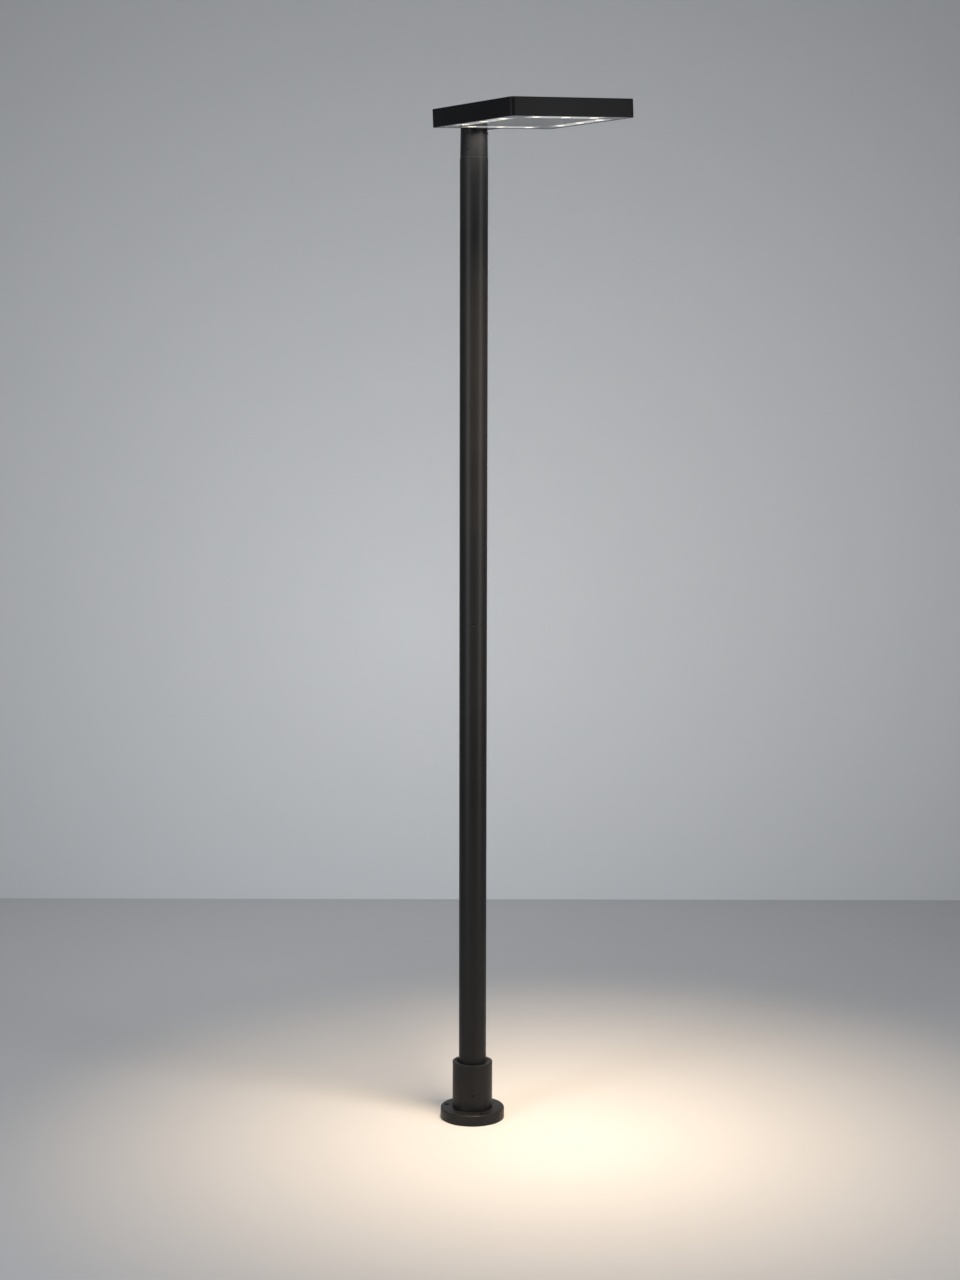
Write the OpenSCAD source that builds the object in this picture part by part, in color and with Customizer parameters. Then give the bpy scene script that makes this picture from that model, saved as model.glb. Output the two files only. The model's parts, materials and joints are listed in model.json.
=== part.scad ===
// Street lamp post: a two-part tubular pole on a bolted round base, carrying a flat square LED
// head on a short arm. The head swivels about the pole and rolls a little about the arm.
// Origin: centre of the base's underside. +Z is up, +X is the way the head projects.

/* [Pole] */
// Outside diameter of both pole tubes
pole_d = 60; // [56:1:74]
// Wall thickness of both pole tubes
pole_wall = 3; // [2:0.5:4]
// Length of the lower tube
lower_len = 1078; // [600:1:1400]
// Length of the upper tube
upper_len = 990; // [600:1:1400]
// Length of the sleeve that joins the two tubes
coupling_len = 160; // [100:1:240]

/* [Base] */
// Diameter of the base flange
flange_d = 141; // [136:1:200]
// Thickness of the base flange
flange_t = 24; // [20:1:40]
// Radial wall of the collar around the pole
collar_wall = 14; // [10:1:16]
// Height of the collar above the flange
collar_h = 104; // [80:1:140]
// Diameter of the circle of fixing holes
fixing_pcd = 116; // [112:1:130]
// Diameter of each fixing hole
fixing_hole_d = 9; // [6:0.5:12]
// Length of the spigot inside the foot of the pole
base_spigot_len = 170; // [150:1:240]

/* [Swivel socket] */
// Height of the socket that turns on the pole's top
socket_h = 57; // [50:1:80]
// Diameter of the spigot that the socket turns on
spigot_d = 46; // [42:1:47]

/* [Arm] */
// Distance from the pole's axis to the back of the head
arm_reach = 69; // [60:0.5:140]
// Width of the arm where it meets the head
arm_w = 70; // [60:1:90]
// Height of the arm with its cover
arm_h = 31; // [29:0.5:35]

/* [Head] */
// Length of each side of the square head
head_side = 298; // [270:1:400]
// Thickness of the head
head_t = 37; // [36:0.5:46]
// Radius of the head's upright corners
head_corner_r = 9; // [6:0.5:20]
// Wall of the head's frame
head_wall = 4; // [3:0.5:5]
// Angle that the head is rolled about the arm at rest
head_roll = 2.5; // [-8:0.5:8]

/* [Light source] */
// Distance between the lights in a row
led_pitch = 70; // [50:1:80]
// Distance from a row of lights to the edge of the head
led_inset = 31.5; // [28:0.5:32]
// Diameter of each lens
lens_d = 20; // [14:0.5:24]
// Width of each light board
board_w = 36; // [30:1:38]
// Thickness of the cover glass
glass_t = 4; // [3:0.5:5]

/* [Hidden] */
$fn = 64;

// Clearances
slip = 0.15;        // radial, between parts that are slid together and then fixed
running = 0.05;     // radial, between parts that turn
face_gap = 0.05;    // between faces that turn on each other
thread_slip = 0.05; // radial, around a screw in its hole
ledge_slip = 0.15;  // radial, around a screw in the head's ledges
cut = 1;            // how far a cutting shape runs past a face

// Pole
pole_r = pole_d / 2;
pole_bore_r = pole_r - pole_wall;
seam_seal_t = 0.8;
seam_z = flange_t + lower_len;
upper_z = seam_z + seam_seal_t;
pole_top_z = upper_z + upper_len;
insert_r = pole_bore_r - slip;
insert_wall = 4;
seam_screw_d = 3;
seam_screw_z = upper_z + 3;
seam_screw_angles = [-30, 10];

// Base
collar_r = pole_r + collar_wall;
collar_top_z = flange_t + collar_h;
flange_chamfer = 1.5;
fixing_count = 3;
fixing_angle = -14;
spigot_screw_d = 6;
spigot_screw_head_d = 12;
spigot_screw_len = 30;
spigot_foot_t = 12;
spigot_screw_pcd = 2 * (insert_r - 7);
collar_screw_d = 6;
collar_screw_z = flange_t + 36;
collar_screw_angle = -31;
collar_screw_recess = 0.8;
collar_seal_w = 5;
collar_seal_t = 4;
gland_thread_d = 20;
gland_bore_d = 10;
gland_hex = 24;
gland_nut_t = 6;
gland_pocket_d = 32;
gland_pocket_t = 9;
gland_top_z = flange_t + spigot_foot_t + 14;
connector_d = 25;
connector_len = 72;
earth_screw_d = 4;
earth_r = insert_r - insert_wall - 5;

// Swivel at the top of the pole
shoulder_t = 2;
plug_len = 70;
washer_t = 1;
socket_z = pole_top_z + shoulder_t + washer_t + face_gap;
socket_top_z = socket_z + socket_h;
socket_foot_r = pole_r - 0.5;
socket_top_r = pole_r - 1.5;
socket_roof_t = 5;
spigot_r = spigot_d / 2;
spigot_top_z = socket_top_z - socket_roof_t - 0.5;
spigot_bore_r = 13;
groove_depth = 1.5;
groove_w = 7.5;
socket_screw_angles = [-60, 60, 180];
lower_screw_d = 4;
upper_screw_d = 5;
lower_screw_z = socket_z + 15;
upper_screw_z = socket_z + socket_h - 8;
upper_screw_stand = 1.2;
cable_d = 9;
lead_d = 7;
plug_d = 22;
plug_h = 24;

// Arm
arm_z = socket_top_z;
arm_wall = 4;
arm_end_r = socket_top_r;
arm_face_x = arm_reach - face_gap;
cover_t = 3;
arm_screw_d = 4;
arm_screw_r = 16;
cover_screw_d = 3;
boss_r = cover_screw_d / 2 + 3.5;
boss_inset = arm_wall + boss_r - 1;
axis_z = arm_z + arm_h / 2;

// Roll joint between the arm and the head
roll_d = 13;
roll_bore_d = 8.5;
roll_flange_d = min(22, arm_h - arm_wall - cover_t - 2);
roll_flange_t = 4;
roll_washer_t = 0.9;
roll_nut_t = 4.5;
roll_nut_d = 20;
roll_end_x = head_wall + roll_washer_t + roll_nut_t + 0.8;
roll_pocket_r = roll_nut_d / 2 + 1;
lead_bend_r = min(15, arm_h / 2 - 0.5);

// Head, in its own frame: x from its back face, z from its underside
half_side = head_side / 2;
inner_side = head_side - 2 * head_wall;
inner_corner_r = head_corner_r - head_wall;
ledge_w = 5;
ledge_side = inner_side - 2 * ledge_w;
glass_z = 0.2;
gasket_t = 0.8;
ledge_z = glass_z + glass_t + gasket_t;
tray_z = ledge_z + 4.3;
tray_t = 2;
board_t = 1.6;
top_plate_t = 2.5;
rib_drop = 0.7;
rib_h = 2.3;
top_plate_z = head_t - rib_drop - rib_h - top_plate_t;
top_ledge_t = 3.5;
rib_count = 13;
rib_t = 3;
panel_gap = 0.3;
tray_side = inner_side - 2 * panel_gap;
tray_top = tray_z + tray_t;
tray_back = roll_end_x + 1;
plate_screw_d = 2.5;
plate_screw_head_d = 5;
plate_screw_line = half_side - head_wall - plate_screw_head_d / 2 - 0.25;
plate_screw_spots = [-0.88, -0.3, 0.3, 0.88];

// Light source
leds_per_row = 3;
board_end = 20;
board_len = (leds_per_row - 1) * led_pitch + 2 * board_end;
chip_side = 3.5;
chip_t = 0.9;
lens_t = 3;
lens_lip_t = 0.8;

// Control gear
driver_size = [150, 58, 14];
driver_x = half_side + 24;
block_size = [18, 44, 13];
block_x = 52;
surge_size = [44, 30, 13];
surge_x = 88;
surge_y = -62;
tail_y = [-3, 0, 3];
wire_d = 2.4;

/* ---- shared shapes ---- */

// A square with true round corners, centred on the origin
module round_square(side, r) {
    square([side - 2 * r, side], center = true);
    square([side, side - 2 * r], center = true);
    for (sx = [-1, 1], sy = [-1, 1])
        translate([sx * (side / 2 - r), sy * (side / 2 - r)])
            circle(r);
}

// A tube standing on the origin
module tube(r_out, r_in, h) {
    difference() {
        cylinder(r = r_out, h = h);
        translate([0, 0, -cut])
            cylinder(r = r_in, h = h + 2 * cut);
    }
}

// Turns a shape that stands on +Z so that it points outwards from the pole's axis
module radial(angle, r, z) {
    rotate([0, 0, angle])
        translate([r, 0, z])
            rotate([0, 90, 0])
                children();
}

// A headless screw from z = 0 to z = len, with its hexagon socket at the top
module grub_screw(d, len) {
    difference() {
        cylinder(d = d, h = len);
        translate([0, 0, len - d * 0.5])
            cylinder(d = d * 0.58, h = d, $fn = 6);
    }
}

// A countersunk screw whose flat head is at z = 0 and whose shank goes down
module countersunk_screw(d, head_d, len) {
    difference() {
        rotate_extrude()
            polygon([
                [0, 0], [head_d / 2, 0], [d / 2, -(head_d - d) / 2], [d / 2, -len], [0, -len],
            ]);
        translate([0, 0, -d * 0.4])
            cylinder(d = d * 0.6, h = d, $fn = 6);
    }
}

// The hole for a countersunk screw, a little larger all round
module countersunk_hole(d, head_d, len) {
    r = d / 2 + thread_slip;
    head_r = head_d / 2 + thread_slip;
    rotate_extrude()
        polygon([
            [0, cut], [head_r, cut], [head_r, -thread_slip], [r, -(head_r - r) - thread_slip], [r, -len], [0, -len],
        ]);
}

// A cheese-head screw whose shank goes down from z = 0
module cap_screw(d, len) {
    difference() {
        union() {
            translate([0, 0, -len])
                cylinder(d = d, h = len);
            cylinder(d = d * 1.75, h = d * 0.8);
        }
        translate([0, 0, d * 0.3])
            cylinder(d = d * 0.9, h = d, $fn = 6);
    }
}

// Where the fixing holes are
module at_fixings() {
    for (i = [0 : fixing_count - 1])
        rotate([0, 0, fixing_angle + i * 360 / fixing_count])
            translate([fixing_pcd / 2, 0, 0])
                children();
}

// Where the screws that hold the base spigot are, midway between the fixing holes
module at_spigot_screws() {
    for (i = [0 : fixing_count - 1])
        rotate([0, 0, fixing_angle + (i + 0.5) * 360 / fixing_count])
            translate([spigot_screw_pcd / 2, 0, 0])
                children();
}

/* ---- base ---- */

// The round plate that is bolted to the ground
module base_flange() {
    color([0.17, 0.17, 0.18])
        difference() {
            rotate_extrude($fn = 128)
                polygon([
                    [0, 0], [flange_d / 2, 0], [flange_d / 2, flange_t - flange_chamfer],
                    [flange_d / 2 - flange_chamfer, flange_t], [0, flange_t],
                ]);
            translate([0, 0, -cut])
                cylinder(d = gland_pocket_d, h = gland_pocket_t + cut);
            translate([0, 0, -cut])
                cylinder(r = gland_thread_d / 2 + thread_slip, h = flange_t + 2 * cut);
            at_fixings()
                translate([0, 0, -cut])
                    cylinder(d = fixing_hole_d, h = flange_t + 2 * cut);
            at_spigot_screws()
                mirror([0, 0, 1])
                    countersunk_hole(spigot_screw_d, spigot_screw_head_d, flange_t + cut);
        }
}

// The tube that stands on the flange inside the foot of the pole
module base_spigot() {
    color([0.62, 0.63, 0.65])
        translate([0, 0, flange_t])
            difference() {
                cylinder(r = insert_r, h = base_spigot_len);
                translate([0, 0, spigot_foot_t])
                    cylinder(r = insert_r - insert_wall, h = base_spigot_len);
                translate([0, 0, -cut])
                    cylinder(r = gland_thread_d / 2 + thread_slip, h = spigot_foot_t + 2 * cut);
                at_spigot_screws()
                    translate([0, 0, -cut])
                        cylinder(d = spigot_screw_d + 2 * thread_slip, h = spigot_foot_t + 2 * cut);
                rotate([0, 0, fixing_angle])
                    translate([earth_r, 0, 4])
                        cylinder(d = earth_screw_d + 2 * thread_slip, h = spigot_foot_t);
            }
}

// Countersunk screws from below the flange into the spigot's foot
module spigot_screws() {
    color([0.70, 0.70, 0.72])
        at_spigot_screws()
            mirror([0, 0, 1])
                countersunk_screw(spigot_screw_d, spigot_screw_head_d, spigot_screw_len);
}

// The thick collar that steadies the foot of the pole
module base_collar() {
    edge = 1;
    inner_r = pole_r + slip;
    seal_r = inner_r + collar_seal_w;
    color([0.17, 0.17, 0.18])
        translate([0, 0, flange_t])
            difference() {
                rotate_extrude($fn = 128)
                    polygon([
                        [inner_r, 0], [collar_r, 0], [collar_r, collar_h - edge],
                        [collar_r - edge, collar_h], [seal_r, collar_h],
                        [seal_r, collar_h - collar_seal_t], [inner_r, collar_h - collar_seal_t],
                    ]);
                for (i = [0 : 2])
                    radial(collar_screw_angle + i * 120, 0, collar_screw_z - flange_t)
                        cylinder(d = collar_screw_d + 2 * thread_slip, h = collar_r + cut);
            }
}

// Headless screws through the collar and the tube, onto the spigot
module collar_set_screws() {
    point_r = insert_r + slip;
    color([0.13, 0.13, 0.14])
        for (i = [0 : 2])
            radial(collar_screw_angle + i * 120, point_r, collar_screw_z)
                grub_screw(collar_screw_d, collar_r - collar_screw_recess - point_r);
}

// The rubber ring between the collar's mouth and the pole
module collar_seal() {
    color([0.05, 0.05, 0.05])
        translate([0, 0, collar_top_z - collar_seal_t])
            tube(pole_r + slip + collar_seal_w - slip, pole_r + slip, collar_seal_t - 0.6);
}

// The gland that the supply cable comes up through
module base_gland() {
    flat_z = flange_t + spigot_foot_t;
    color([0.08, 0.08, 0.08])
        difference() {
            union() {
                translate([0, 0, gland_pocket_t - gland_nut_t - 1])
                    cylinder(d = gland_thread_d, h = flat_z - gland_pocket_t + gland_nut_t + 1);
                translate([0, 0, flat_z])
                    cylinder(d = gland_hex, h = 6, $fn = 6);
                translate([0, 0, flat_z + 6])
                    cylinder(d = gland_thread_d, h = gland_top_z - flat_z - 6);
            }
            translate([0, 0, -cut])
                cylinder(d = gland_bore_d, h = gland_top_z + 2 * cut);
        }
}

// The gland's nut, in the pocket under the flange
module gland_locknut() {
    color([0.08, 0.08, 0.08])
        translate([0, 0, gland_pocket_t - gland_nut_t])
            difference() {
                cylinder(d = gland_hex + 3, h = gland_nut_t, $fn = 6);
                translate([0, 0, -cut])
                    cylinder(r = gland_thread_d / 2 + thread_slip, h = gland_nut_t + 2 * cut);
            }
}

// The two-part plug that joins the supply to the cable in the pole
module supply_connector() {
    nut_len = 16;
    color([0.10, 0.10, 0.11])
        translate([0, 0, gland_top_z]) {
            cylinder(d = connector_d * 0.8, h = nut_len);
            translate([0, 0, nut_len])
                cylinder(d = connector_d, h = connector_len - 2 * nut_len);
            translate([0, 0, connector_len - nut_len])
                cylinder(d = connector_d * 0.8, h = nut_len);
        }
}

// The earth screw in the spigot's foot
module earth_screw() {
    color([0.80, 0.70, 0.35])
        rotate([0, 0, fixing_angle])
            translate([earth_r, 0, flange_t + spigot_foot_t])
                cap_screw(earth_screw_d, 7);
}

/* ---- pole ---- */

// The lower pole tube
module lower_tube() {
    color([0.16, 0.16, 0.17])
        difference() {
            translate([0, 0, flange_t])
                tube(pole_r, pole_bore_r, lower_len);
            for (i = [0 : 2])
                radial(collar_screw_angle + i * 120, 0, collar_screw_z)
                    cylinder(d = collar_screw_d + 4 * thread_slip, h = pole_r + cut);
        }
}

// The sleeve inside both tubes at the seam
module coupling_sleeve() {
    color([0.62, 0.63, 0.65])
        translate([0, 0, seam_z - coupling_len / 2])
            tube(insert_r, insert_r - insert_wall, coupling_len);
}

// The thin ring between the ends of the two tubes
module seam_seal() {
    color([0.04, 0.04, 0.04])
        translate([0, 0, seam_z])
            tube(pole_r - 0.4, insert_r + slip, seam_seal_t);
}

// The two small headless screws that lock the upper tube to the sleeve
module seam_screws() {
    color([0.10, 0.10, 0.11])
        for (angle = seam_screw_angles)
            radial(angle, insert_r + slip / 2, seam_screw_z)
                grub_screw(seam_screw_d, pole_r - 0.4 - insert_r - slip / 2);
}

// The upper pole tube
module upper_tube() {
    color([0.16, 0.16, 0.17])
        difference() {
            translate([0, 0, upper_z])
                tube(pole_r, pole_bore_r, upper_len);
            for (angle = seam_screw_angles)
                radial(angle, 0, seam_screw_z)
                    cylinder(d = seam_screw_d + 2 * thread_slip, h = pole_r + cut);
        }
}

// The bonded insert whose upper half is the spigot that the head turns on
module top_spigot() {
    groove_r = spigot_r - groove_depth;
    color([0.62, 0.63, 0.65])
        rotate_extrude()
            polygon([
                [spigot_bore_r, pole_top_z - plug_len],
                [insert_r, pole_top_z - plug_len],
                [insert_r, pole_top_z],
                [socket_foot_r, pole_top_z],
                [socket_foot_r, pole_top_z + shoulder_t],
                [spigot_r, pole_top_z + shoulder_t],
                [spigot_r, lower_screw_z - groove_w / 2],
                [groove_r, lower_screw_z - groove_w / 2],
                [groove_r, lower_screw_z + groove_w / 2],
                [spigot_r, lower_screw_z + groove_w / 2],
                [spigot_r, spigot_top_z],
                [spigot_bore_r, spigot_top_z],
            ]);
}

// The plastic washer that the head's socket turns on
module swivel_washer() {
    color([0.75, 0.74, 0.70])
        translate([0, 0, pole_top_z + shoulder_t])
            tube(socket_foot_r - 0.6, spigot_r + slip, washer_t);
}

// The cable that hangs down the pole's axis
module pole_cable() {
    start_z = gland_top_z + connector_len;
    color([0.03, 0.03, 0.03])
        translate([0, 0, start_z])
            cylinder(d = cable_d, h = spigot_top_z - plug_h - 0.2 - start_z, $fn = 32);
}

// The plug at the top of the cable, inside the spigot
module cable_plug() {
    half_h = plug_h / 2;
    color([0.10, 0.10, 0.11])
        translate([0, 0, spigot_top_z - plug_h - 0.2]) {
            cylinder(d = plug_d * 0.7, h = half_h);
            translate([0, 0, half_h])
                cylinder(r = spigot_bore_r - slip, h = half_h);
        }
}

/* ---- socket and arm: these swivel about the pole ---- */

// The slightly tapered sleeve over the spigot
module head_socket() {
    bore_r = spigot_r + running;
    roof_z = socket_top_z - socket_roof_t;
    color([0.16, 0.16, 0.17])
        difference() {
            rotate_extrude($fn = 128)
                polygon([
                    [0, roof_z], [bore_r, roof_z], [bore_r, socket_z],
                    [socket_foot_r, socket_z], [socket_top_r, socket_top_z], [0, socket_top_z],
                ]);
            translate([0, 0, roof_z - cut])
                cylinder(d = lead_d + 2, h = socket_roof_t + 2 * cut);
            for (angle = socket_screw_angles) {
                radial(angle, 0, lower_screw_z)
                    cylinder(d = lower_screw_d + 2 * thread_slip, h = pole_r + cut);
                radial(angle, 0, upper_screw_z)
                    cylinder(d = upper_screw_d + 2 * thread_slip, h = pole_r + cut);
            }
            for (i = [0 : 2])
                rotate([0, 0, i * 120])
                    translate([arm_screw_r, 0, roof_z - cut])
                        cylinder(d = arm_screw_d + 2 * thread_slip, h = socket_roof_t + 2 * cut);
        }
}

// The lower screws, whose points run in the spigot's groove
module socket_screws_lower() {
    point_r = spigot_r - groove_depth + 0.3;
    color([0.12, 0.12, 0.13])
        for (angle = socket_screw_angles)
            radial(angle, point_r, lower_screw_z)
                grub_screw(lower_screw_d, socket_foot_r - 0.6 - point_r);
}

// The upper screws, which clamp the head at its heading and stand a little proud
module socket_screws_upper() {
    point_r = spigot_r + running;
    color([0.12, 0.12, 0.13])
        for (angle = socket_screw_angles)
            radial(angle, point_r, upper_screw_z)
                grub_screw(upper_screw_d, socket_top_r + upper_screw_stand - point_r);
}

// The mating half of the cable's plug, under the socket's roof
module cable_socket() {
    color([0.10, 0.10, 0.11])
        translate([0, 0, spigot_top_z])
            cylinder(d = lead_d, h = socket_top_z - spigot_top_z, $fn = 32);
}

// The lead from the plug, round a bend in the arm and out through the roll spigot
module arm_lead() {
    r = lead_bend_r;
    bend_z = axis_z - r;
    color([0.03, 0.03, 0.03]) {
        if (bend_z > socket_top_z)
            translate([0, 0, socket_top_z])
                cylinder(d = lead_d, h = bend_z - socket_top_z, $fn = 32);
        translate([r, 0, bend_z])
            rotate([90, 0, 0])
                rotate([0, 0, 90])
                    rotate_extrude(angle = 90)
                        translate([r, 0])
                            circle(d = lead_d, $fn = 32);
        translate([r, 0, axis_z])
            rotate([0, 90, 0])
                cylinder(d = lead_d, h = arm_reach + roll_end_x + 0.5 - r, $fn = 32);
    }
}

// The arm's outline seen from above, drawn in by a given amount
module arm_outline(inset) {
    r = arm_end_r - inset;
    w = arm_w / 2 - inset;
    circle(r);
    polygon([[0, -r], [arm_face_x - inset, -w], [arm_face_x - inset, w], [0, r]]);
}

// Where the arm's cover is screwed down
module at_cover_screws() {
    for (side = [-1, 1])
        translate([arm_face_x - boss_inset, side * (arm_w / 2 - boss_inset), arm_z + arm_h])
            children();
    translate([boss_inset - arm_end_r, 0, arm_z + arm_h])
        children();
}

// The hollow arm, open at the top
module arm() {
    hollow_h = arm_h - cover_t - arm_wall;
    color([0.16, 0.16, 0.17])
        difference() {
            translate([0, 0, arm_z])
                linear_extrude(arm_h - cover_t)
                    arm_outline(0);
            difference() {
                translate([0, 0, arm_z + arm_wall])
                    linear_extrude(hollow_h + cut)
                        arm_outline(arm_wall);
                at_cover_screws()
                    translate([0, 0, -arm_h])
                        cylinder(r = boss_r, h = arm_h);
            }
            translate([0, 0, arm_z - cut])
                cylinder(d = lead_d + 2, h = arm_wall + 2 * cut);
            for (i = [0 : 2])
                rotate([0, 0, i * 120])
                    translate([arm_screw_r, 0, arm_z - cut])
                        cylinder(d = arm_screw_d + 2 * thread_slip, h = arm_wall + 2 * cut);
            at_cover_screws()
                translate([0, 0, -arm_h + arm_wall + cover_t])
                    cylinder(d = cover_screw_d + 2 * thread_slip, h = arm_h);
            translate([arm_face_x - arm_wall - cut, 0, axis_z])
                rotate([0, 90, 0])
                    cylinder(r = roll_d / 2 + slip, h = arm_wall + 2 * cut);
        }
}

// Screws down through the arm's floor into the socket's roof
module arm_screws() {
    color([0.70, 0.70, 0.72])
        for (i = [0 : 2])
            rotate([0, 0, i * 120])
                translate([arm_screw_r, 0, arm_z + arm_wall])
                    cap_screw(arm_screw_d, arm_wall + socket_roof_t - 0.2);
}

// The lid over the arm
module arm_cover() {
    color([0.16, 0.16, 0.17])
        difference() {
            translate([0, 0, arm_z + arm_h - cover_t])
                linear_extrude(cover_t)
                    arm_outline(0);
            at_cover_screws()
                countersunk_hole(cover_screw_d, cover_screw_d * 2, cover_t + cut);
        }
}

// The cover's screws
module arm_cover_screws() {
    color([0.12, 0.12, 0.13])
        at_cover_screws()
            countersunk_screw(cover_screw_d, cover_screw_d * 2, 12);
}

/* ---- roll joint ---- */

// Puts a shape made along +Z on the roll axis, from a place x along it
module on_roll_axis(x) {
    translate([x, 0, axis_z])
        rotate([0, 90, 0])
            children();
}

// The hollow pin that the head turns on, with its flange inside the arm
module roll_spigot() {
    flange_x = arm_face_x - arm_wall - roll_flange_t;
    color([0.62, 0.63, 0.65])
        difference() {
            union() {
                on_roll_axis(flange_x)
                    cylinder(d = roll_flange_d, h = roll_flange_t);
                on_roll_axis(flange_x)
                    cylinder(d = roll_d, h = arm_reach + roll_end_x - flange_x);
            }
            on_roll_axis(flange_x - cut)
                cylinder(d = roll_bore_d, h = arm_reach + roll_end_x - flange_x + 2 * cut);
        }
}

// The friction washer against the inside of the head's back wall
module roll_washer() {
    color([0.70, 0.70, 0.72])
        on_roll_axis(arm_reach + head_wall + face_gap)
            tube(roll_nut_d / 2, roll_d / 2 + thread_slip, roll_washer_t - face_gap);
}

// The nut that draws the head against the arm
module roll_nut() {
    color([0.70, 0.70, 0.72])
        on_roll_axis(arm_reach + head_wall + roll_washer_t)
            difference() {
                cylinder(d = roll_nut_d, h = roll_nut_t, $fn = 6);
                translate([0, 0, -cut])
                    cylinder(r = roll_d / 2 + thread_slip, h = roll_nut_t + 2 * cut);
            }
}

/* ---- head: this rolls about the arm ---- */

// Puts a shape drawn in the head's own frame in its place
module on_head() {
    translate([arm_reach, 0, axis_z])
        rotate([head_roll, 0, 0])
            translate([0, 0, -head_t / 2])
                children();
}

// A flat square plate of the head, centred in it
module head_plate(side, r, z, t) {
    translate([half_side, 0, z])
        linear_extrude(t)
            round_square(side, r);
}

// Where the screws along the four ledges are
module at_ledge_screws(z) {
    for (turn = [0 : 3])
        translate([half_side, 0, z])
            rotate([0, 0, turn * 90])
                for (spot = turn == 2 ? [plate_screw_spots[0], plate_screw_spots[3]] : plate_screw_spots)
                    translate([plate_screw_line, spot * plate_screw_line, 0])
                        children();
}

// The frame around the head, with a ledge for the glass and tray and another for the top plate
module housing_frame() {
    color([0.16, 0.16, 0.17])
        on_head()
            difference() {
                head_plate(head_side, head_corner_r, 0, head_t);
                head_plate(ledge_side, inner_corner_r, -cut, head_t + 2 * cut);
                head_plate(inner_side, inner_corner_r, -cut, ledge_z + cut);
                head_plate(inner_side, inner_corner_r, tray_z, top_plate_z - top_ledge_t - tray_z);
                head_plate(inner_side, inner_corner_r, top_plate_z, head_t);
                translate([head_wall, 0, head_t / 2])
                    rotate([0, 90, 0])
                        cylinder(r = roll_pocket_r, h = ledge_w + cut);
                translate([-cut, 0, head_t / 2])
                    rotate([0, 90, 0])
                        cylinder(r = roll_d / 2 + running, h = head_wall + 2 * cut);
                at_ledge_screws(top_plate_z - top_ledge_t - cut)
                    cylinder(d = plate_screw_d + 2 * ledge_slip, h = top_ledge_t + 2 * cut);
                at_ledge_screws(ledge_z + 1.2)
                    cylinder(d = plate_screw_d + 2 * ledge_slip, h = 6);
            }
}

// The ribbed aluminium plate that closes the head and cools it
module top_plate() {
    rib_len = inner_side - 24;
    rib_step = (inner_side - 60) / (rib_count - 1);
    color([0.16, 0.16, 0.17])
        on_head()
            difference() {
                union() {
                    head_plate(inner_side - 2 * panel_gap, inner_corner_r, top_plate_z, top_plate_t);
                    for (i = [0 : rib_count - 1])
                        translate([
                            half_side - rib_len / 2, (i - (rib_count - 1) / 2) * rib_step - rib_t / 2,
                            top_plate_z + top_plate_t,
                        ])
                            cube([rib_len, rib_t, rib_h]);
                }
                at_ledge_screws(top_plate_z + top_plate_t)
                    countersunk_hole(plate_screw_d, plate_screw_head_d, top_plate_t + cut);
            }
}

// The countersunk screws around the top plate
module top_plate_screws() {
    color([0.12, 0.12, 0.13])
        on_head()
            at_ledge_screws(top_plate_z + top_plate_t)
                countersunk_screw(plate_screw_d, plate_screw_head_d, top_plate_t + top_ledge_t);
}

// The breather in the back of the head, which lets pressure out and keeps water away
module vent_plug() {
    vent_y = arm_w / 2 + 22;
    color([0.05, 0.05, 0.05])
        on_head()
            translate([-2.5, vent_y, head_t / 2])
                rotate([0, 90, 0])
                    cylinder(d = 12, h = 2.5);
}

// The plate that the light boards and the control gear are fixed to
module led_tray() {
    color([0.80, 0.80, 0.80])
        on_head()
            difference() {
                head_plate(tray_side, inner_corner_r, tray_z, tray_t);
                translate([0, -roll_pocket_r - 2, tray_z - cut])
                    cube([tray_back, 2 * roll_pocket_r + 4, tray_t + 2 * cut]);
                at_ledge_screws(tray_z - cut)
                    cylinder(d = plate_screw_d + 2 * ledge_slip, h = tray_t + 2 * cut);
                at_driver_screws(tray_z - cut)
                    cylinder(d = plate_screw_d + 2 * thread_slip, h = tray_t + 2 * cut);
            }
}

// The screws that hold the tray on its ledge
module tray_screws() {
    color([0.70, 0.70, 0.72])
        on_head()
            at_ledge_screws(tray_top)
                cap_screw(plate_screw_d, tray_t + 2.8);
}

// Where the four boards lie: turned about the head's middle, front first
module at_board(turn) {
    translate([half_side, 0, 0])
        rotate([0, 0, turn * 90])
            translate([half_side - led_inset, 0, 0])
                children();
}

// One light board under the tray
module led_board(turn) {
    color([0.92, 0.92, 0.90])
        on_head()
            at_board(turn)
                translate([-board_w / 2, -board_len / 2, tray_z - board_t])
                    cube([board_w, board_len, board_t]);
}

module led_board_front() { led_board(0); }
module led_board_left() { led_board(1); }
module led_board_back() { led_board(2); }
module led_board_right() { led_board(3); }

// Where each light is, at a height
module at_leds(z) {
    for (turn = [0 : 3])
        at_board(turn)
            for (i = [0 : leds_per_row - 1])
                translate([0, (i - (leds_per_row - 1) / 2) * led_pitch, z])
                    children();
}

// The light-emitting chips, one under each lens
module led_chips() {
    color([1.0, 0.85, 0.45])
        on_head()
            at_leds(tray_z - board_t - chip_t)
                translate([-chip_side / 2, -chip_side / 2, 0])
                    cube([chip_side, chip_side, chip_t]);
}

// The domed lenses over the chips, each a shell on its board
module led_lenses() {
    dome_r = lens_d / 2 - 1;
    dome_h = lens_t - lens_lip_t;
    ball_r = (dome_r * dome_r + dome_h * dome_h) / (2 * dome_h);
    color([0.95, 0.95, 0.92])
        on_head()
            at_leds(tray_z - board_t)
                mirror([0, 0, 1])
                    difference() {
                        union() {
                            cylinder(d = lens_d, h = lens_lip_t);
                            intersection() {
                                translate([0, 0, lens_lip_t + dome_h - ball_r])
                                    sphere(ball_r);
                                cylinder(r = dome_r, h = lens_t + cut);
                            }
                        }
                        translate([0, 0, -cut])
                            cylinder(r = chip_side * 0.8, h = chip_t + 0.3 + cut);
                    }
}

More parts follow.
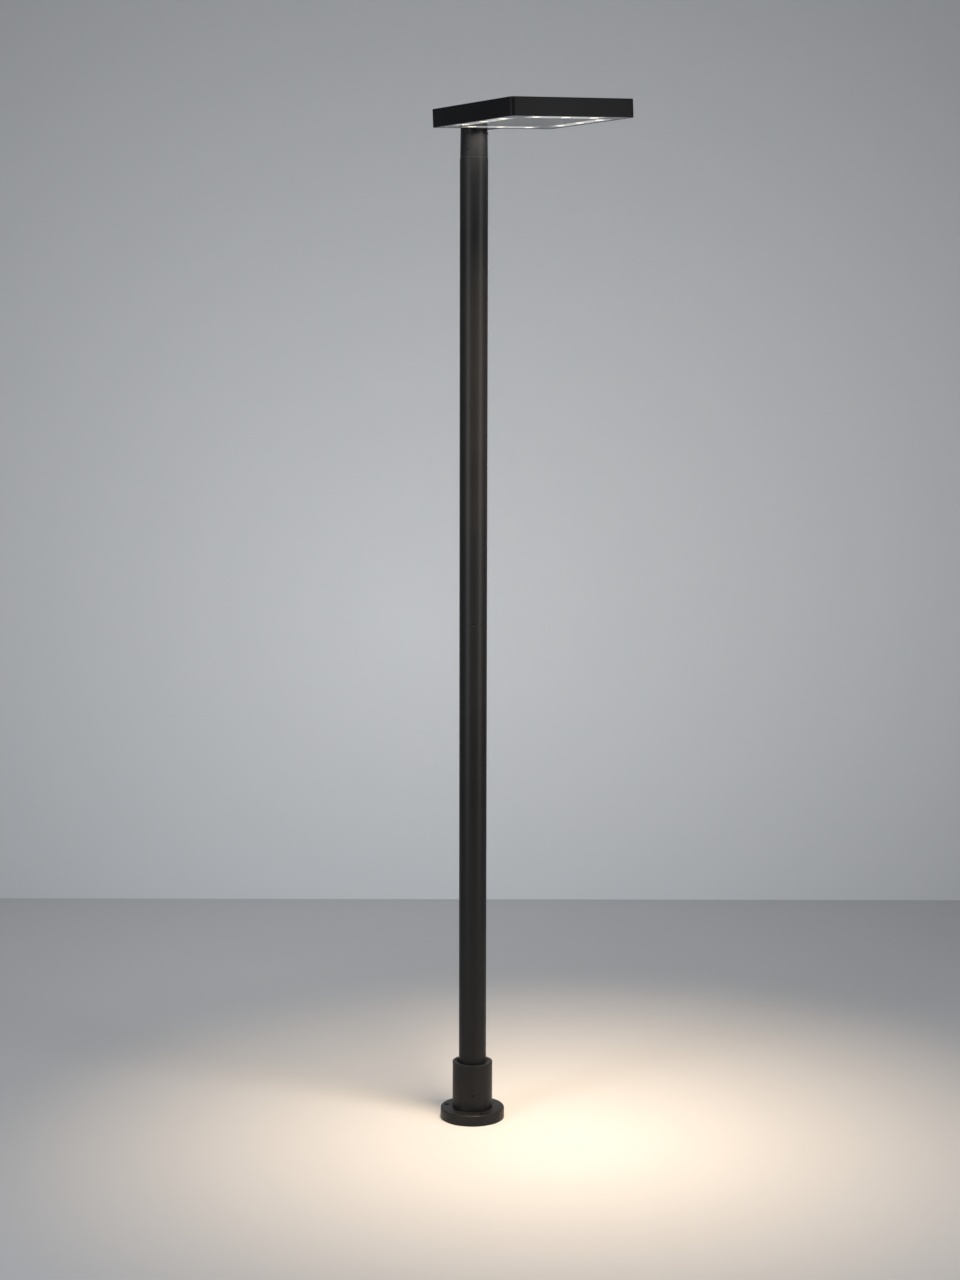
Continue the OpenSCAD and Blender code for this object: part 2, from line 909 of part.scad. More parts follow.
// The dark panel that fills the space around the boards
module mask_panel() {
    color([0.22, 0.22, 0.23])
        on_head()
            difference() {
                head_plate(ledge_side - 2 * panel_gap, inner_corner_r, tray_z - board_t, board_t);
                for (turn = [0 : 3])
                    at_board(turn)
                        translate([-board_w / 2 - panel_gap, -board_len / 2 - panel_gap, tray_z - board_t - cut])
                            cube([board_w + led_inset, board_len + 2 * panel_gap, board_t + 2 * cut]);
            }
}

// The bead of silicone that the glass is bonded in
module glass_gasket() {
    color([0.05, 0.05, 0.05])
        on_head()
            difference() {
                head_plate(inner_side - 2 * panel_gap, inner_corner_r, ledge_z - gasket_t, gasket_t);
                head_plate(ledge_side, inner_corner_r, ledge_z - gasket_t - cut, gasket_t + 2 * cut);
            }
}

// The toughened glass over the lights
module cover_glass() {
    color([0.55, 0.60, 0.62, 0.4])
        on_head()
            head_plate(inner_side - 2 * panel_gap, inner_corner_r, glass_z, glass_t);
}

// Where the driver's end screws are
module at_driver_screws(z) {
    for (side = [-1, 1])
        translate([driver_x, side * (driver_size[0] / 2 + 5), z])
            children();
}

// The current supply for the lights, with a fixing ear at each end
module driver() {
    ear_len = 10;
    ear_t = 2;
    color([0.88, 0.88, 0.86])
        on_head()
            difference() {
                union() {
                    translate([driver_x - driver_size[1] / 2, -driver_size[0] / 2, tray_top])
                        cube([driver_size[1], driver_size[0], driver_size[2]]);
                    translate([driver_x - 10, -driver_size[0] / 2 - ear_len, tray_top])
                        cube([20, driver_size[0] + 2 * ear_len, ear_t]);
                }
                at_driver_screws(tray_top - cut)
                    cylinder(d = plate_screw_d + 2 * thread_slip, h = ear_t + 2 * cut);
            }
}

// The driver's screws
module driver_screws() {
    color([0.70, 0.70, 0.72])
        on_head()
            at_driver_screws(tray_top + 2)
                cap_screw(plate_screw_d, 2 + tray_t);
}

// The block where the lead's wires are joined to the driver's
module terminal_block() {
    way_count = 3;
    way_step = block_size[1] / way_count;
    color([0.85, 0.85, 0.80])
        on_head()
            difference() {
                translate([block_x - block_size[0] / 2, -block_size[1] / 2, tray_top])
                    cube(block_size);
                for (i = [0 : way_count - 1])
                    translate([block_x, (i - 1) * way_step, tray_top + block_size[2] - 4])
                        cylinder(d = 4.5, h = 4 + cut);
            }
}

// The surge protector beside the driver
module surge_protector() {
    color([0.75, 0.20, 0.12])
        on_head()
            translate([surge_x - surge_size[0] / 2, surge_y - surge_size[1] / 2, tray_top])
                cube(surge_size);
}

// The three wires from the lead to the terminal block
module supply_tails() {
    start_x = roll_end_x + 0.8;
    color([0.10, 0.25, 0.60])
        on_head()
            for (y = tail_y)
                translate([start_x, y, head_t / 2])
                    rotate([0, 90, 0])
                        cylinder(d = wire_d, h = block_x - block_size[0] / 2 - start_x, $fn = 24);
}

// The wires from the terminal block to the driver
module driver_leads() {
    start_x = block_x + block_size[0] / 2;
    color([0.60, 0.12, 0.10])
        on_head()
            for (y = [-10, 10])
                translate([start_x, y, tray_top + 6])
                    rotate([0, 90, 0])
                        cylinder(d = wire_d, h = driver_x - driver_size[1] / 2 - start_x, $fn = 24);
}

base_flange();
base_spigot();
spigot_screws();
base_collar();
collar_set_screws();
collar_seal();
base_gland();
gland_locknut();
supply_connector();
earth_screw();
lower_tube();
coupling_sleeve();
seam_seal();
seam_screws();
upper_tube();
top_spigot();
swivel_washer();
pole_cable();
cable_plug();
head_socket();
socket_screws_lower();
socket_screws_upper();
cable_socket();
arm_lead();
arm();
arm_screws();
arm_cover();
arm_cover_screws();
roll_spigot();
roll_washer();
roll_nut();
housing_frame();
top_plate();
top_plate_screws();
vent_plug();
led_tray();
tray_screws();
mask_panel();
led_board_front();
led_board_left();
led_board_right();
led_board_back();
led_chips();
led_lenses();
glass_gasket();
cover_glass();
driver();
driver_screws();
terminal_block();
surge_protector();
supply_tails();
driver_leads();
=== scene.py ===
"""Looks of the street lamp post: its outer pieces, finishes, lights and camera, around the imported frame."""

from __future__ import annotations

import json
import logging
import math
from dataclasses import dataclass
from enum import Enum
from typing import Sequence

import bmesh
import bpy
from mathutils import Matrix, Vector

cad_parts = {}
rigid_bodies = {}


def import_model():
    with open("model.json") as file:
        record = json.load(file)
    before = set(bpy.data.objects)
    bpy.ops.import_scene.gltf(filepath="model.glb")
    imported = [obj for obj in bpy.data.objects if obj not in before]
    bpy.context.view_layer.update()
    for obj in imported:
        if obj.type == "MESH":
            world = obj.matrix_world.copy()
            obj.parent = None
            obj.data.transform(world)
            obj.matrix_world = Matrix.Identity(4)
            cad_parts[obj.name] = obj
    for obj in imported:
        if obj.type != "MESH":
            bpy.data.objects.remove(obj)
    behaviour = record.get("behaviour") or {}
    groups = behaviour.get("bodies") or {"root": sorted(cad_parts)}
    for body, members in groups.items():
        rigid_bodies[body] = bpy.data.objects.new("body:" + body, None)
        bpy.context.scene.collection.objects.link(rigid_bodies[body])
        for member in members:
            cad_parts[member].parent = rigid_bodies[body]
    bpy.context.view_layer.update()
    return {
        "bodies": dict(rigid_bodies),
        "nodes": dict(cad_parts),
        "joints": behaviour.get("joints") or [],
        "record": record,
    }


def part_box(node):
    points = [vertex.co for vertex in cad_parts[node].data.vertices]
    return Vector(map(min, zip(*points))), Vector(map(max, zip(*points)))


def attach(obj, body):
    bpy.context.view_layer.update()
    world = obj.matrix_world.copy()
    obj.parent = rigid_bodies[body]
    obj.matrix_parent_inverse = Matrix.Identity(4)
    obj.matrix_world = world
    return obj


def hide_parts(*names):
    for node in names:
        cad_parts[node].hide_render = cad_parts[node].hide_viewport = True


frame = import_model()
LOG = logging.getLogger("lamp_post")

MM = 0.001
FULL_TURN = 2 * math.pi
ROUND_STEPS = 128
SMALL_STEPS = 40
SHARP_ANGLE = math.radians(20)
HEAD_ROLL = math.radians(2.5)


class Body(Enum):
    """The rigid bodies that pieces ride on."""

    POST = "post"
    SWIVEL_ARM = "swivel_arm"
    HEAD = "head"


class Slot(Enum):
    """The material slots that new pieces take their finish from."""

    COATED = "coated_aluminium"
    RUBBER = "black_rubber"
    GLASS = "glass"
    LENS = "lens_clear"
    BOARD = "board_white"
    MASK = "mask_grey"
    BLACK_STEEL = "black_steel"
    CHIP = "led_chip"
    ZINC = "zinc_steel"


# ---- node trees -------------------------------------------------------------------------------


class ShaderTree:
    """A material's node tree, built around one Principled shader."""

    def __init__(self, name: str) -> None:
        """Start a material.

        Args:
            name: The material's name.
        """
        self.material = bpy.data.materials.new(name)
        self.material.use_nodes = True
        self.tree = self.material.node_tree
        self.shader = next(n for n in self.tree.nodes if n.type == "BSDF_PRINCIPLED")
        self.coords = self.tree.nodes.new("ShaderNodeTexCoord").outputs["Object"]

    def set(self, **values: float | tuple[float, ...]) -> None:
        """Set the shader's own sockets, such as Base_Color or Roughness."""
        for socket, value in values.items():
            self.shader.inputs[socket.replace("_", " ")].default_value = value

    def link(self, source: bpy.types.NodeSocket, target: bpy.types.NodeSocket) -> None:
        """Join two sockets."""
        self.tree.links.new(source, target)

    def placed(self, scale: tuple[float, float, float]) -> bpy.types.NodeSocket:
        """Return the object coordinates, stretched.

        Args:
            scale: How much each axis is stretched.

        Returns:
            The Mapping node's vector.
        """
        mapping = self.tree.nodes.new("ShaderNodeMapping")
        mapping.inputs["Scale"].default_value = scale
        self.link(self.coords, mapping.inputs["Vector"])
        return mapping.outputs["Vector"]

    def noise(
        self, scale: float, detail: float = 2.0, stretch: tuple[float, float, float] = (1.0, 1.0, 1.0)
    ) -> bpy.types.NodeSocket:
        """Add a noise pattern.

        Args:
            scale: Cells per metre.
            detail: Octaves of detail.
            stretch: How much each axis is stretched first.

        Returns:
            The pattern's value, from 0 to 1.
        """
        node = self.tree.nodes.new("ShaderNodeTexNoise")
        node.inputs["Scale"].default_value = scale
        node.inputs["Detail"].default_value = detail
        self.link(self.placed(stretch), node.inputs["Vector"])
        return node.outputs["Fac"]

    def ramp(
        self, value: bpy.types.NodeSocket, low: Sequence[float], high: Sequence[float],
        span: tuple[float, float],
    ) -> bpy.types.NodeSocket:
        """Turn a value into a colour between two others.

        Args:
            value: The value to read.
            low: Colour below the span.
            high: Colour above the span.
            span: Where the change starts and ends.

        Returns:
            The colour socket.
        """
        node = self.tree.nodes.new("ShaderNodeValToRGB")
        for element, place, colour in zip(node.color_ramp.elements, span, (low, high)):
            element.position = place
            element.color = (*colour, 1.0)
        self.link(value, node.inputs["Fac"])
        return node.outputs["Color"]

    def spread(self, value: bpy.types.NodeSocket, low: float, high: float) -> bpy.types.NodeSocket:
        """Map a value from 0..1 onto a range.

        Args:
            value: The value to read.
            low: Result at 0.
            high: Result at 1.

        Returns:
            The mapped value.
        """
        node = self.tree.nodes.new("ShaderNodeMapRange")
        node.inputs["To Min"].default_value = low
        node.inputs["To Max"].default_value = high
        self.link(value, node.inputs["Value"])
        return node.outputs["Result"]

    def bump(self, height: bpy.types.NodeSocket, strength: float, depth: float) -> None:
        """Give the shader a bumped normal.

        Args:
            height: The height pattern.
            strength: How strongly it shows, 0 to 1.
            depth: Height of the bumps in metres.
        """
        node = self.tree.nodes.new("ShaderNodeBump")
        node.inputs["Strength"].default_value = strength
        node.inputs["Distance"].default_value = depth
        self.link(height, node.inputs["Height"])
        self.link(node.outputs["Normal"], self.shader.inputs["Normal"])


@dataclass(frozen=True)
class PowderCoat:
    """A baked powder coat with a fine orange-peel grain."""

    name: str
    dark: tuple[float, float, float]
    light: tuple[float, float, float]
    roughness: tuple[float, float] = (0.38, 0.46)
    sheen: float = 0.21
    grain: float = 1500.0
    grain_depth: float = 0.00012

    def material(self) -> bpy.types.Material:
        """Build the coat's material."""
        tree = ShaderTree(self.name)
        tree.set(Specular_IOR_Level=self.sheen)
        cloud = tree.noise(9.0, 4.0)
        tree.link(tree.ramp(cloud, self.dark, self.light, (0.35, 0.7)), tree.shader.inputs["Base Color"])
        tree.link(tree.spread(tree.noise(140.0, 3.0), *self.roughness), tree.shader.inputs["Roughness"])
        tree.bump(tree.noise(self.grain, 3.0), 0.22, self.grain_depth)
        return tree.material


@dataclass(frozen=True)
class MachinedMetal:
    """Bare or plated metal with fine turning marks."""

    name: str
    dark: tuple[float, float, float]
    light: tuple[float, float, float]
    roughness: tuple[float, float]
    marks: float = 700.0

    def material(self) -> bpy.types.Material:
        """Build the metal's material."""
        tree = ShaderTree(self.name)
        tree.set(Metallic=1.0)
        tint = tree.ramp(tree.noise(60.0, 4.0), self.dark, self.light, (0.3, 0.7))
        tree.link(tint, tree.shader.inputs["Base Color"])
        tree.link(tree.spread(tree.noise(320.0, 2.0), *self.roughness), tree.shader.inputs["Roughness"])
        tree.bump(tree.noise(self.marks, 1.0, (0.12, 0.12, 4.0)), 0.25, 0.00008)
        return tree.material


@dataclass(frozen=True)
class Moulding:
    """Moulded plastic, rubber or lacquer: one tone with a faint cloud and a fine skin."""

    name: str
    dark: tuple[float, float, float]
    light: tuple[float, float, float]
    roughness: tuple[float, float]
    skin: float = 900.0
    skin_depth: float = 0.0001

    def material(self) -> bpy.types.Material:
        """Build the moulding's material."""
        tree = ShaderTree(self.name)
        tint = tree.ramp(tree.noise(35.0, 3.0), self.dark, self.light, (0.3, 0.7))
        tree.link(tint, tree.shader.inputs["Base Color"])
        tree.link(tree.spread(tree.noise(260.0, 2.0), *self.roughness), tree.shader.inputs["Roughness"])
        tree.bump(tree.noise(self.skin, 2.0), 0.2, self.skin_depth)
        return tree.material


@dataclass(frozen=True)
class GlowingLens:
    """A clear lens lit warm from its chip, brightest at its middle tone."""

    name: str
    glow: tuple[float, float, float]
    strength: float
    roughness: float = 0.12

    def material(self) -> bpy.types.Material:
        """Build the lit lens's material."""
        tree = ShaderTree(self.name)
        facets = tree.noise(420.0, 1.0)
        warm = tuple(0.86 * c for c in self.glow)
        tree.link(tree.ramp(facets, warm, self.glow, (0.3, 0.7)), tree.shader.inputs["Base Color"])
        tree.set(
            Roughness=self.roughness, Emission_Color=(*self.glow, 1.0), Emission_Strength=self.strength,
            Coat_Weight=0.4,
        )
        tree.bump(facets, 0.12, 0.0001)
        return tree.material


@dataclass(frozen=True)
class PaneGlass:
    """Clear coated glass: clear face on, and a dim mirror at a shallow angle."""

    name: str
    tint: tuple[float, float, float]
    ior: float = 1.5
    shine: float = 0.22

    def material(self) -> bpy.types.Material:
        """Build the glass's material."""
        tree = ShaderTree(self.name)
        smear = tree.noise(14.0, 3.0)
        tree.set(Metallic=1.0)
        bright = tuple(min(1.0, c * 1.04) for c in self.tint)
        tree.link(tree.ramp(smear, self.tint, bright, (0.3, 0.7)), tree.shader.inputs["Base Color"])
        tree.link(tree.spread(smear, 0.03, 0.07), tree.shader.inputs["Roughness"])
        fresnel = tree.tree.nodes.new("ShaderNodeFresnel")
        fresnel.inputs["IOR"].default_value = self.ior
        tree.link(tree.spread(fresnel.outputs["Fac"], 0.0, self.shine), tree.shader.inputs["Alpha"])
        return tree.material


@dataclass(frozen=True)
class BacklitFilm:
    """Frosted film that glows a little from the lights behind it."""

    name: str
    dark: tuple[float, float, float]
    light: tuple[float, float, float]
    glow: float

    def material(self) -> bpy.types.Material:
        """Build the film's material."""
        tree = ShaderTree(self.name)
        frost = tree.noise(500.0, 2.0)
        tree.link(tree.ramp(frost, self.dark, self.light, (0.3, 0.7)), tree.shader.inputs["Base Color"])
        tree.set(Roughness=0.6, Emission_Color=(*self.light, 1.0), Emission_Strength=self.glow)
        tree.bump(frost, 0.1, 0.0001)
        return tree.material


# ---- mesh tools -------------------------------------------------------------------------------


Finish = PowderCoat | MachinedMetal | Moulding | GlowingLens | PaneGlass | BacklitFilm


def to_object(mesh: bmesh.types.BMesh, name: str, place: Matrix | None = None) -> bpy.types.Object:
    """Turn a bmesh into an object at the origin, smooth between its sharp edges.

    Args:
        mesh: The shape, which is freed.
        name: The object's name.
        place: Where the shape goes, if it isn't in its place yet.

    Returns:
        The new object, in the scene.
    """
    if place is not None:
        bmesh.ops.transform(mesh, matrix=place, verts=mesh.verts)
    data = bpy.data.meshes.new(name)
    mesh.to_mesh(data)
    mesh.free()
    data.shade_smooth()
    data.set_sharp_from_angle(angle=SHARP_ANGLE)
    piece = bpy.data.objects.new(name, data)
    bpy.context.scene.collection.objects.link(piece)
    return piece


def soften(mesh: bmesh.types.BMesh, width: float, segments: int = 2, least: float = 0.6) -> None:
    """Round a shape's sharp edges.

    Args:
        mesh: The shape.
        width: Width of the rounding in metres.
        segments: Faces across the rounding.
        least: The smallest angle between faces, in radians, that counts as sharp.
    """
    edges = [e for e in mesh.edges if len(e.link_faces) == 2 and e.calc_face_angle(0.0) > least]
    bmesh.ops.bevel(
        mesh, geom=edges, offset=width, offset_type="OFFSET", affect="EDGES", segments=segments, profile=0.5,
        material=-1, clamp_overlap=True,
    )


def turned(profile: Sequence[tuple[float, float]], steps: int, edge: float) -> bmesh.types.BMesh:
    """Turn a closed outline of (radius, height) points about the Z axis.

    Args:
        profile: The outline's points in metres, in order, joined back to the first.
        steps: Faces around the turn.
        edge: Width of the rounding on its sharp edges, or 0.

    Returns:
        The closed shape.
    """
    mesh = bmesh.new()
    points = [mesh.verts.new((r, 0.0, z)) for r, z in profile]
    edges = [mesh.edges.new((a, b)) for a, b in zip(points, points[1:] + points[:1])]
    bmesh.ops.spin(
        mesh, geom=points + edges, cent=(0, 0, 0), axis=(0, 0, 1), angle=FULL_TURN, steps=steps,
        use_merge=True,
    )
    bmesh.ops.remove_doubles(mesh, verts=mesh.verts, dist=1e-6)
    bmesh.ops.recalc_face_normals(mesh, faces=mesh.faces)
    if edge > 0:
        soften(mesh, edge, least=0.7)
    return mesh


def ring(
    low: float, high: float, outer: float, inner: float, edge: float, steps: int = ROUND_STEPS
) -> bmesh.types.BMesh:
    """Make a tube.

    Args:
        low: Height of its foot.
        high: Height of its top.
        outer: Outside radius.
        inner: Inside radius.
        edge: Width of the rounding on its edges.
        steps: Faces around the turn.

    Returns:
        The closed shape.
    """
    return turned([(inner, low), (outer, low), (outer, high), (inner, high)], steps, edge)


def rounded_slab(side: float, corner: float, low: float, high: float, edge: float) -> bmesh.types.BMesh:
    """Make a square slab with round upright corners, its back face on x = 0.

    Args:
        side: Length of its sides.
        corner: Radius of its upright corners.
        low: Height of its underside.
        high: Height of its top.
        edge: Width of the rounding on its long edges, or 0.

    Returns:
        The closed shape.
    """
    mesh = bmesh.new()
    bmesh.ops.create_cube(mesh, size=1.0)
    bmesh.ops.scale(mesh, vec=(side, side, high - low), verts=mesh.verts)
    bmesh.ops.translate(mesh, vec=(side / 2, 0, (low + high) / 2), verts=mesh.verts)
    upright = [e for e in mesh.edges if abs(e.verts[0].co.z - e.verts[1].co.z) > (high - low) / 2]
    bmesh.ops.bevel(
        mesh, geom=upright, offset=corner, offset_type="OFFSET", affect="EDGES", segments=10, profile=0.5,
        material=-1, clamp_overlap=True,
    )
    if edge > 0:
        soften(mesh, edge, least=1.2)
    return mesh


def carve(
    piece: bpy.types.Object, cutters: Sequence[bmesh.types.BMesh], join: bool = False
) -> bpy.types.Object:
    """Cut shapes out of a piece, or join them to it.

    Args:
        piece: The piece, whose mesh is replaced.
        cutters: The shapes, which are freed.
        join: Whether they are joined on instead of cut away.

    Returns:
        The same piece.
    """
    tools = [to_object(cutter, f"tool_{i}") for i, cutter in enumerate(cutters)]
    for tool in tools:
        modifier = piece.modifiers.new(tool.name, "BOOLEAN")
        modifier.operation = "UNION" if join else "DIFFERENCE"
        modifier.solver = "MANIFOLD"
        modifier.object = tool
    bpy.context.view_layer.update()
    made = bpy.data.meshes.new_from_object(piece.evaluated_get(bpy.context.evaluated_depsgraph_get()))
    piece.modifiers.clear()
    piece.data = made
    made.shade_smooth()
    made.set_sharp_from_angle(angle=SHARP_ANGLE)
    for tool in tools:
        bpy.data.objects.remove(tool)
    return piece


def rod(radius: float, length: float, place: Matrix, sides: int = SMALL_STEPS) -> bmesh.types.BMesh:
    """Make a plain cutting rod that runs from its place along +Z.

    Args:
        radius: Its radius.
        length: Its length.
        place: Where its foot is and which way it points.
        sides: Faces around it.

    Returns:
        The closed shape.
    """
    mesh = bmesh.new()
    bmesh.ops.create_cone(
        mesh, cap_ends=True, cap_tris=False, segments=sides, radius1=radius, radius2=radius, depth=length,
    )
    bmesh.ops.translate(mesh, vec=(0, 0, length / 2), verts=mesh.verts)
    bmesh.ops.transform(mesh, matrix=place, verts=mesh.verts)
    return mesh


def outward(angle: float, radius: float, height: float) -> Matrix:
    """Return the place of something that points outwards from the pole's axis.

    Args:
        angle: Direction in degrees from +X.
        radius: Distance from the axis.
        height: Height.

    Returns:
        The matrix, whose +Z points outwards.
    """
    turn = Matrix.Rotation(math.radians(angle), 4, "Z")
    return turn @ Matrix.Translation((radius, 0, height)) @ Matrix.Rotation(math.pi / 2, 4, "Y")


@dataclass
class Dresser:
    """Gives pieces their finish, body and slot, and reports them."""

    coats: dict[str, bpy.types.Material]

    def fit(self, piece: bpy.types.Object, body: Body, slot: Slot, *replaced: str) -> bpy.types.Object:
        """Dress a new piece and put it on its body.

        Args:
            piece: The piece.
            body: The body that it rides on.
            slot: Its material slot.
            replaced: The frame's nodes that it stands for.

        Returns:
            The same piece.
        """
        piece.data.materials.clear()
        piece.data.materials.append(self.coats[slot.value])
        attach(piece, body.value)
        if replaced:
            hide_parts(*replaced)
        LOG.info("%s rides on %s with %d faces", piece.name, body.value, len(piece.data.polygons))
        return piece

    def dress_nodes(self) -> None:
        """Give every node of the frame the finish of its material slot."""
        for entry in frame["record"]["subparts"]:
            node = frame["nodes"][entry["node"]]
            for holder in node.material_slots:
                holder.material = self.coats[entry["material_slot"]]


# ---- sub-assemblies ---------------------------------------------------------------------------


@dataclass
class Base:
    """The bolted flange, the collar on it and the collar's rubber ring."""

    flange_radius: float = 70.5 * MM
    flange_bore: float = 10.05 * MM
    chamfer: float = 1.5 * MM
    hole_circle: float = 58.0 * MM
    hole_radius: float = 4.5 * MM
    hole_angle: float = -14.0
    seal_depth: float = 4.0 * MM
    screw_angle: float = -31.0
    screw_radius: float = 3.05 * MM
    edge: float = 0.7 * MM

    def build(self, dresser: Dresser) -> None:
        """Build and dress the base's pieces.

        Args:
            dresser: What finishes and places them.
        """
        dresser.fit(self.flange(), Body.POST, Slot.COATED, "base_flange")
        dresser.fit(self.collar(), Body.POST, Slot.COATED, "base_collar")
        dresser.fit(self.seal(), Body.POST, Slot.RUBBER, "collar_seal")

    def flange(self) -> bpy.types.Object:
        """Return the round flange with its fixing holes, gland pocket and screw seats."""
        low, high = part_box("base_flange")
        nut_low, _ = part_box("gland_locknut")
        pocket = 16 * MM
        nut_seat = nut_low.z + 6 * MM
        outline = [
            (self.flange_bore, nut_seat), (pocket, nut_seat), (pocket, low.z), (self.flange_radius, low.z),
            (self.flange_radius, high.z - self.chamfer), (self.flange_radius - self.chamfer, high.z),
            (self.flange_bore, high.z),
        ]
        piece = to_object(turned(outline, ROUND_STEPS, self.edge), "flange_casting")
        holes = []
        for i in range(3):
            turn = Matrix.Rotation(math.radians(self.hole_angle + 120 * i), 4, "Z")
            place = turn @ Matrix.Translation((self.hole_circle, 0, low.z - MM))
            holes.append(rod(self.hole_radius, high.z - low.z + 2 * MM, place))
            mouth = turn @ Matrix.Translation((self.hole_circle, 0, high.z))
            holes.append(self.countersink(mouth, self.hole_radius, 0.8 * MM))
        screws = frame["nodes"]["spigot_screws"]
        for centre in self.islands(screws):
            place = Matrix.Translation((centre.x, centre.y, low.z - MM))
            holes.append(rod(3.1 * MM, high.z - low.z + 2 * MM, place))
            seat = Matrix.Translation((centre.x, centre.y, low.z)) @ Matrix.Rotation(math.pi, 4, "X")
            holes.append(self.countersink(seat, 3.1 * MM, 3.0 * MM))
        return carve(piece, holes)

    @staticmethod
    def countersink(place: Matrix, radius: float, depth: float) -> bmesh.types.BMesh:
        """Make the cutter for a hole's flared mouth.

        Args:
            place: The mouth's centre, with +Z out of the hole.
            radius: The hole's radius.
            depth: Depth of the flare, which is also how much wider it gets.

        Returns:
            The cutter.
        """
        lead = 0.2 * MM
        mesh = bmesh.new()
        bmesh.ops.create_cone(
            mesh, cap_ends=True, cap_tris=False, segments=SMALL_STEPS, radius1=radius,
            radius2=radius + depth + lead, depth=depth + lead,
        )
        bmesh.ops.translate(mesh, vec=(0, 0, (lead - depth) / 2), verts=mesh.verts)
        bmesh.ops.transform(mesh, matrix=place, verts=mesh.verts)
        return mesh

    @staticmethod
    def islands(node: bpy.types.Object) -> list[Vector]:
        """Return the centre of each separate solid in a node.

        Args:
            node: The node.

        Returns:
            One centre for each solid, in order of place so that every run cuts in the same order.
        """
        mesh = bmesh.new()
        mesh.from_mesh(node.data)
        bmesh.ops.remove_doubles(mesh, verts=mesh.verts, dist=1e-6)
        mesh.verts.ensure_lookup_table()
        left, centres = set(mesh.verts), []
        while left:
            group, queue = [], [left.pop()]
            while queue:
                vert = queue.pop()
                group.append(vert.co.copy())
                for edge in vert.link_edges:
                    other = edge.other_vert(vert)
                    if other in left:
                        left.remove(other)
                        queue.append(other)
            lows = [min(p[axis] for p in group) for axis in range(3)]
            highs = [max(p[axis] for p in group) for axis in range(3)]
            centres.append((Vector(lows) + Vector(highs)) / 2)
        mesh.free()
        return sorted(centres, key=lambda centre: [round(value, 6) for value in centre])

    def collar(self) -> bpy.types.Object:
        """Return the collar with its screw holes and the groove for its ring."""
        low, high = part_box("base_collar")
        _, tube_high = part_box("lower_tube")
        outer, inner = high.x, tube_high.x + 0.15 * MM
        groove = inner + 5 * MM
        outline = [
            (inner, low.z), (outer, low.z), (outer, high.z), (groove, high.z),
            (groove, high.z - self.seal_depth), (inner, high.z - self.seal_depth),
        ]
        piece = to_object(turned(outline, ROUND_STEPS, 1.1 * MM), "collar_turning")
        height = (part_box("collar_set_screws")[0].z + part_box("collar_set_screws")[1].z) / 2
        holes = [
            rod(self.screw_radius, outer, outward(self.screw_angle + 120 * i, inner / 2, height))
            for i in range(3)
        ]
        return carve(piece, holes)

    def seal(self) -> bpy.types.Object:
        """Return the rubber ring, with a lip that slopes down to the pole."""
        low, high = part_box("collar_seal")
        outer, inner = high.x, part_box("lower_tube")[1].x + 0.15 * MM
        lip = 1.2 * MM
        outline = [
            (inner, low.z), (outer, low.z), (outer, high.z - lip), (outer - lip, high.z),
            (inner, high.z - 2 * lip),
        ]
        return to_object(turned(outline, ROUND_STEPS, 0.3 * MM), "collar_mouth_ring")


@dataclass
class Pole:
    """The two tubes and the seal between them."""

    wall: float = 3.0 * MM
    edge: float = 0.35 * MM
    screw_angle: float = -31.0
    screw_radius: float = 3.1 * MM
    seam_angles: tuple[float, float] = (-30.0, 10.0)
    seam_screw_radius: float = 1.55 * MM

    def build(self, dresser: Dresser) -> None:
        """Build and dress the pole's pieces.

        Args:
            dresser: What finishes and places them.
        """
        dresser.fit(self.lower(), Body.POST, Slot.COATED, "lower_tube")
        dresser.fit(self.upper(), Body.POST, Slot.COATED, "upper_tube")
        low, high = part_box("seam_seal")
        seal = to_object(ring(low.z, high.z, high.x, high.x - 2.4 * MM, 0.15 * MM), "seam_ring")
        dresser.fit(seal, Body.POST, Slot.RUBBER, "seam_seal")

    def lower(self) -> bpy.types.Object:
        """Return the lower tube with the collar's screw holes."""
        low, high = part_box("lower_tube")
        piece = to_object(ring(low.z, high.z, high.x, high.x - self.wall, self.edge), "lower_pole_tube")
        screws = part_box("collar_set_screws")
        height = (screws[0].z + screws[1].z) / 2
        return carve(piece, [
            rod(self.screw_radius, high.x, outward(self.screw_angle + 120 * i, high.x / 2, height))
            for i in range(3)
        ])

    def upper(self) -> bpy.types.Object:
        """Return the upper tube with its two seam screw holes."""
        low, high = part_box("upper_tube")
        piece = to_object(ring(low.z, high.z, high.x, high.x - self.wall, self.edge), "upper_pole_tube")
        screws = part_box("seam_screws")
        height = (screws[0].z + screws[1].z) / 2
        return carve(piece, [
            rod(self.seam_screw_radius, high.x, outward(angle, high.x / 2, height))
            for angle in self.seam_angles
        ])


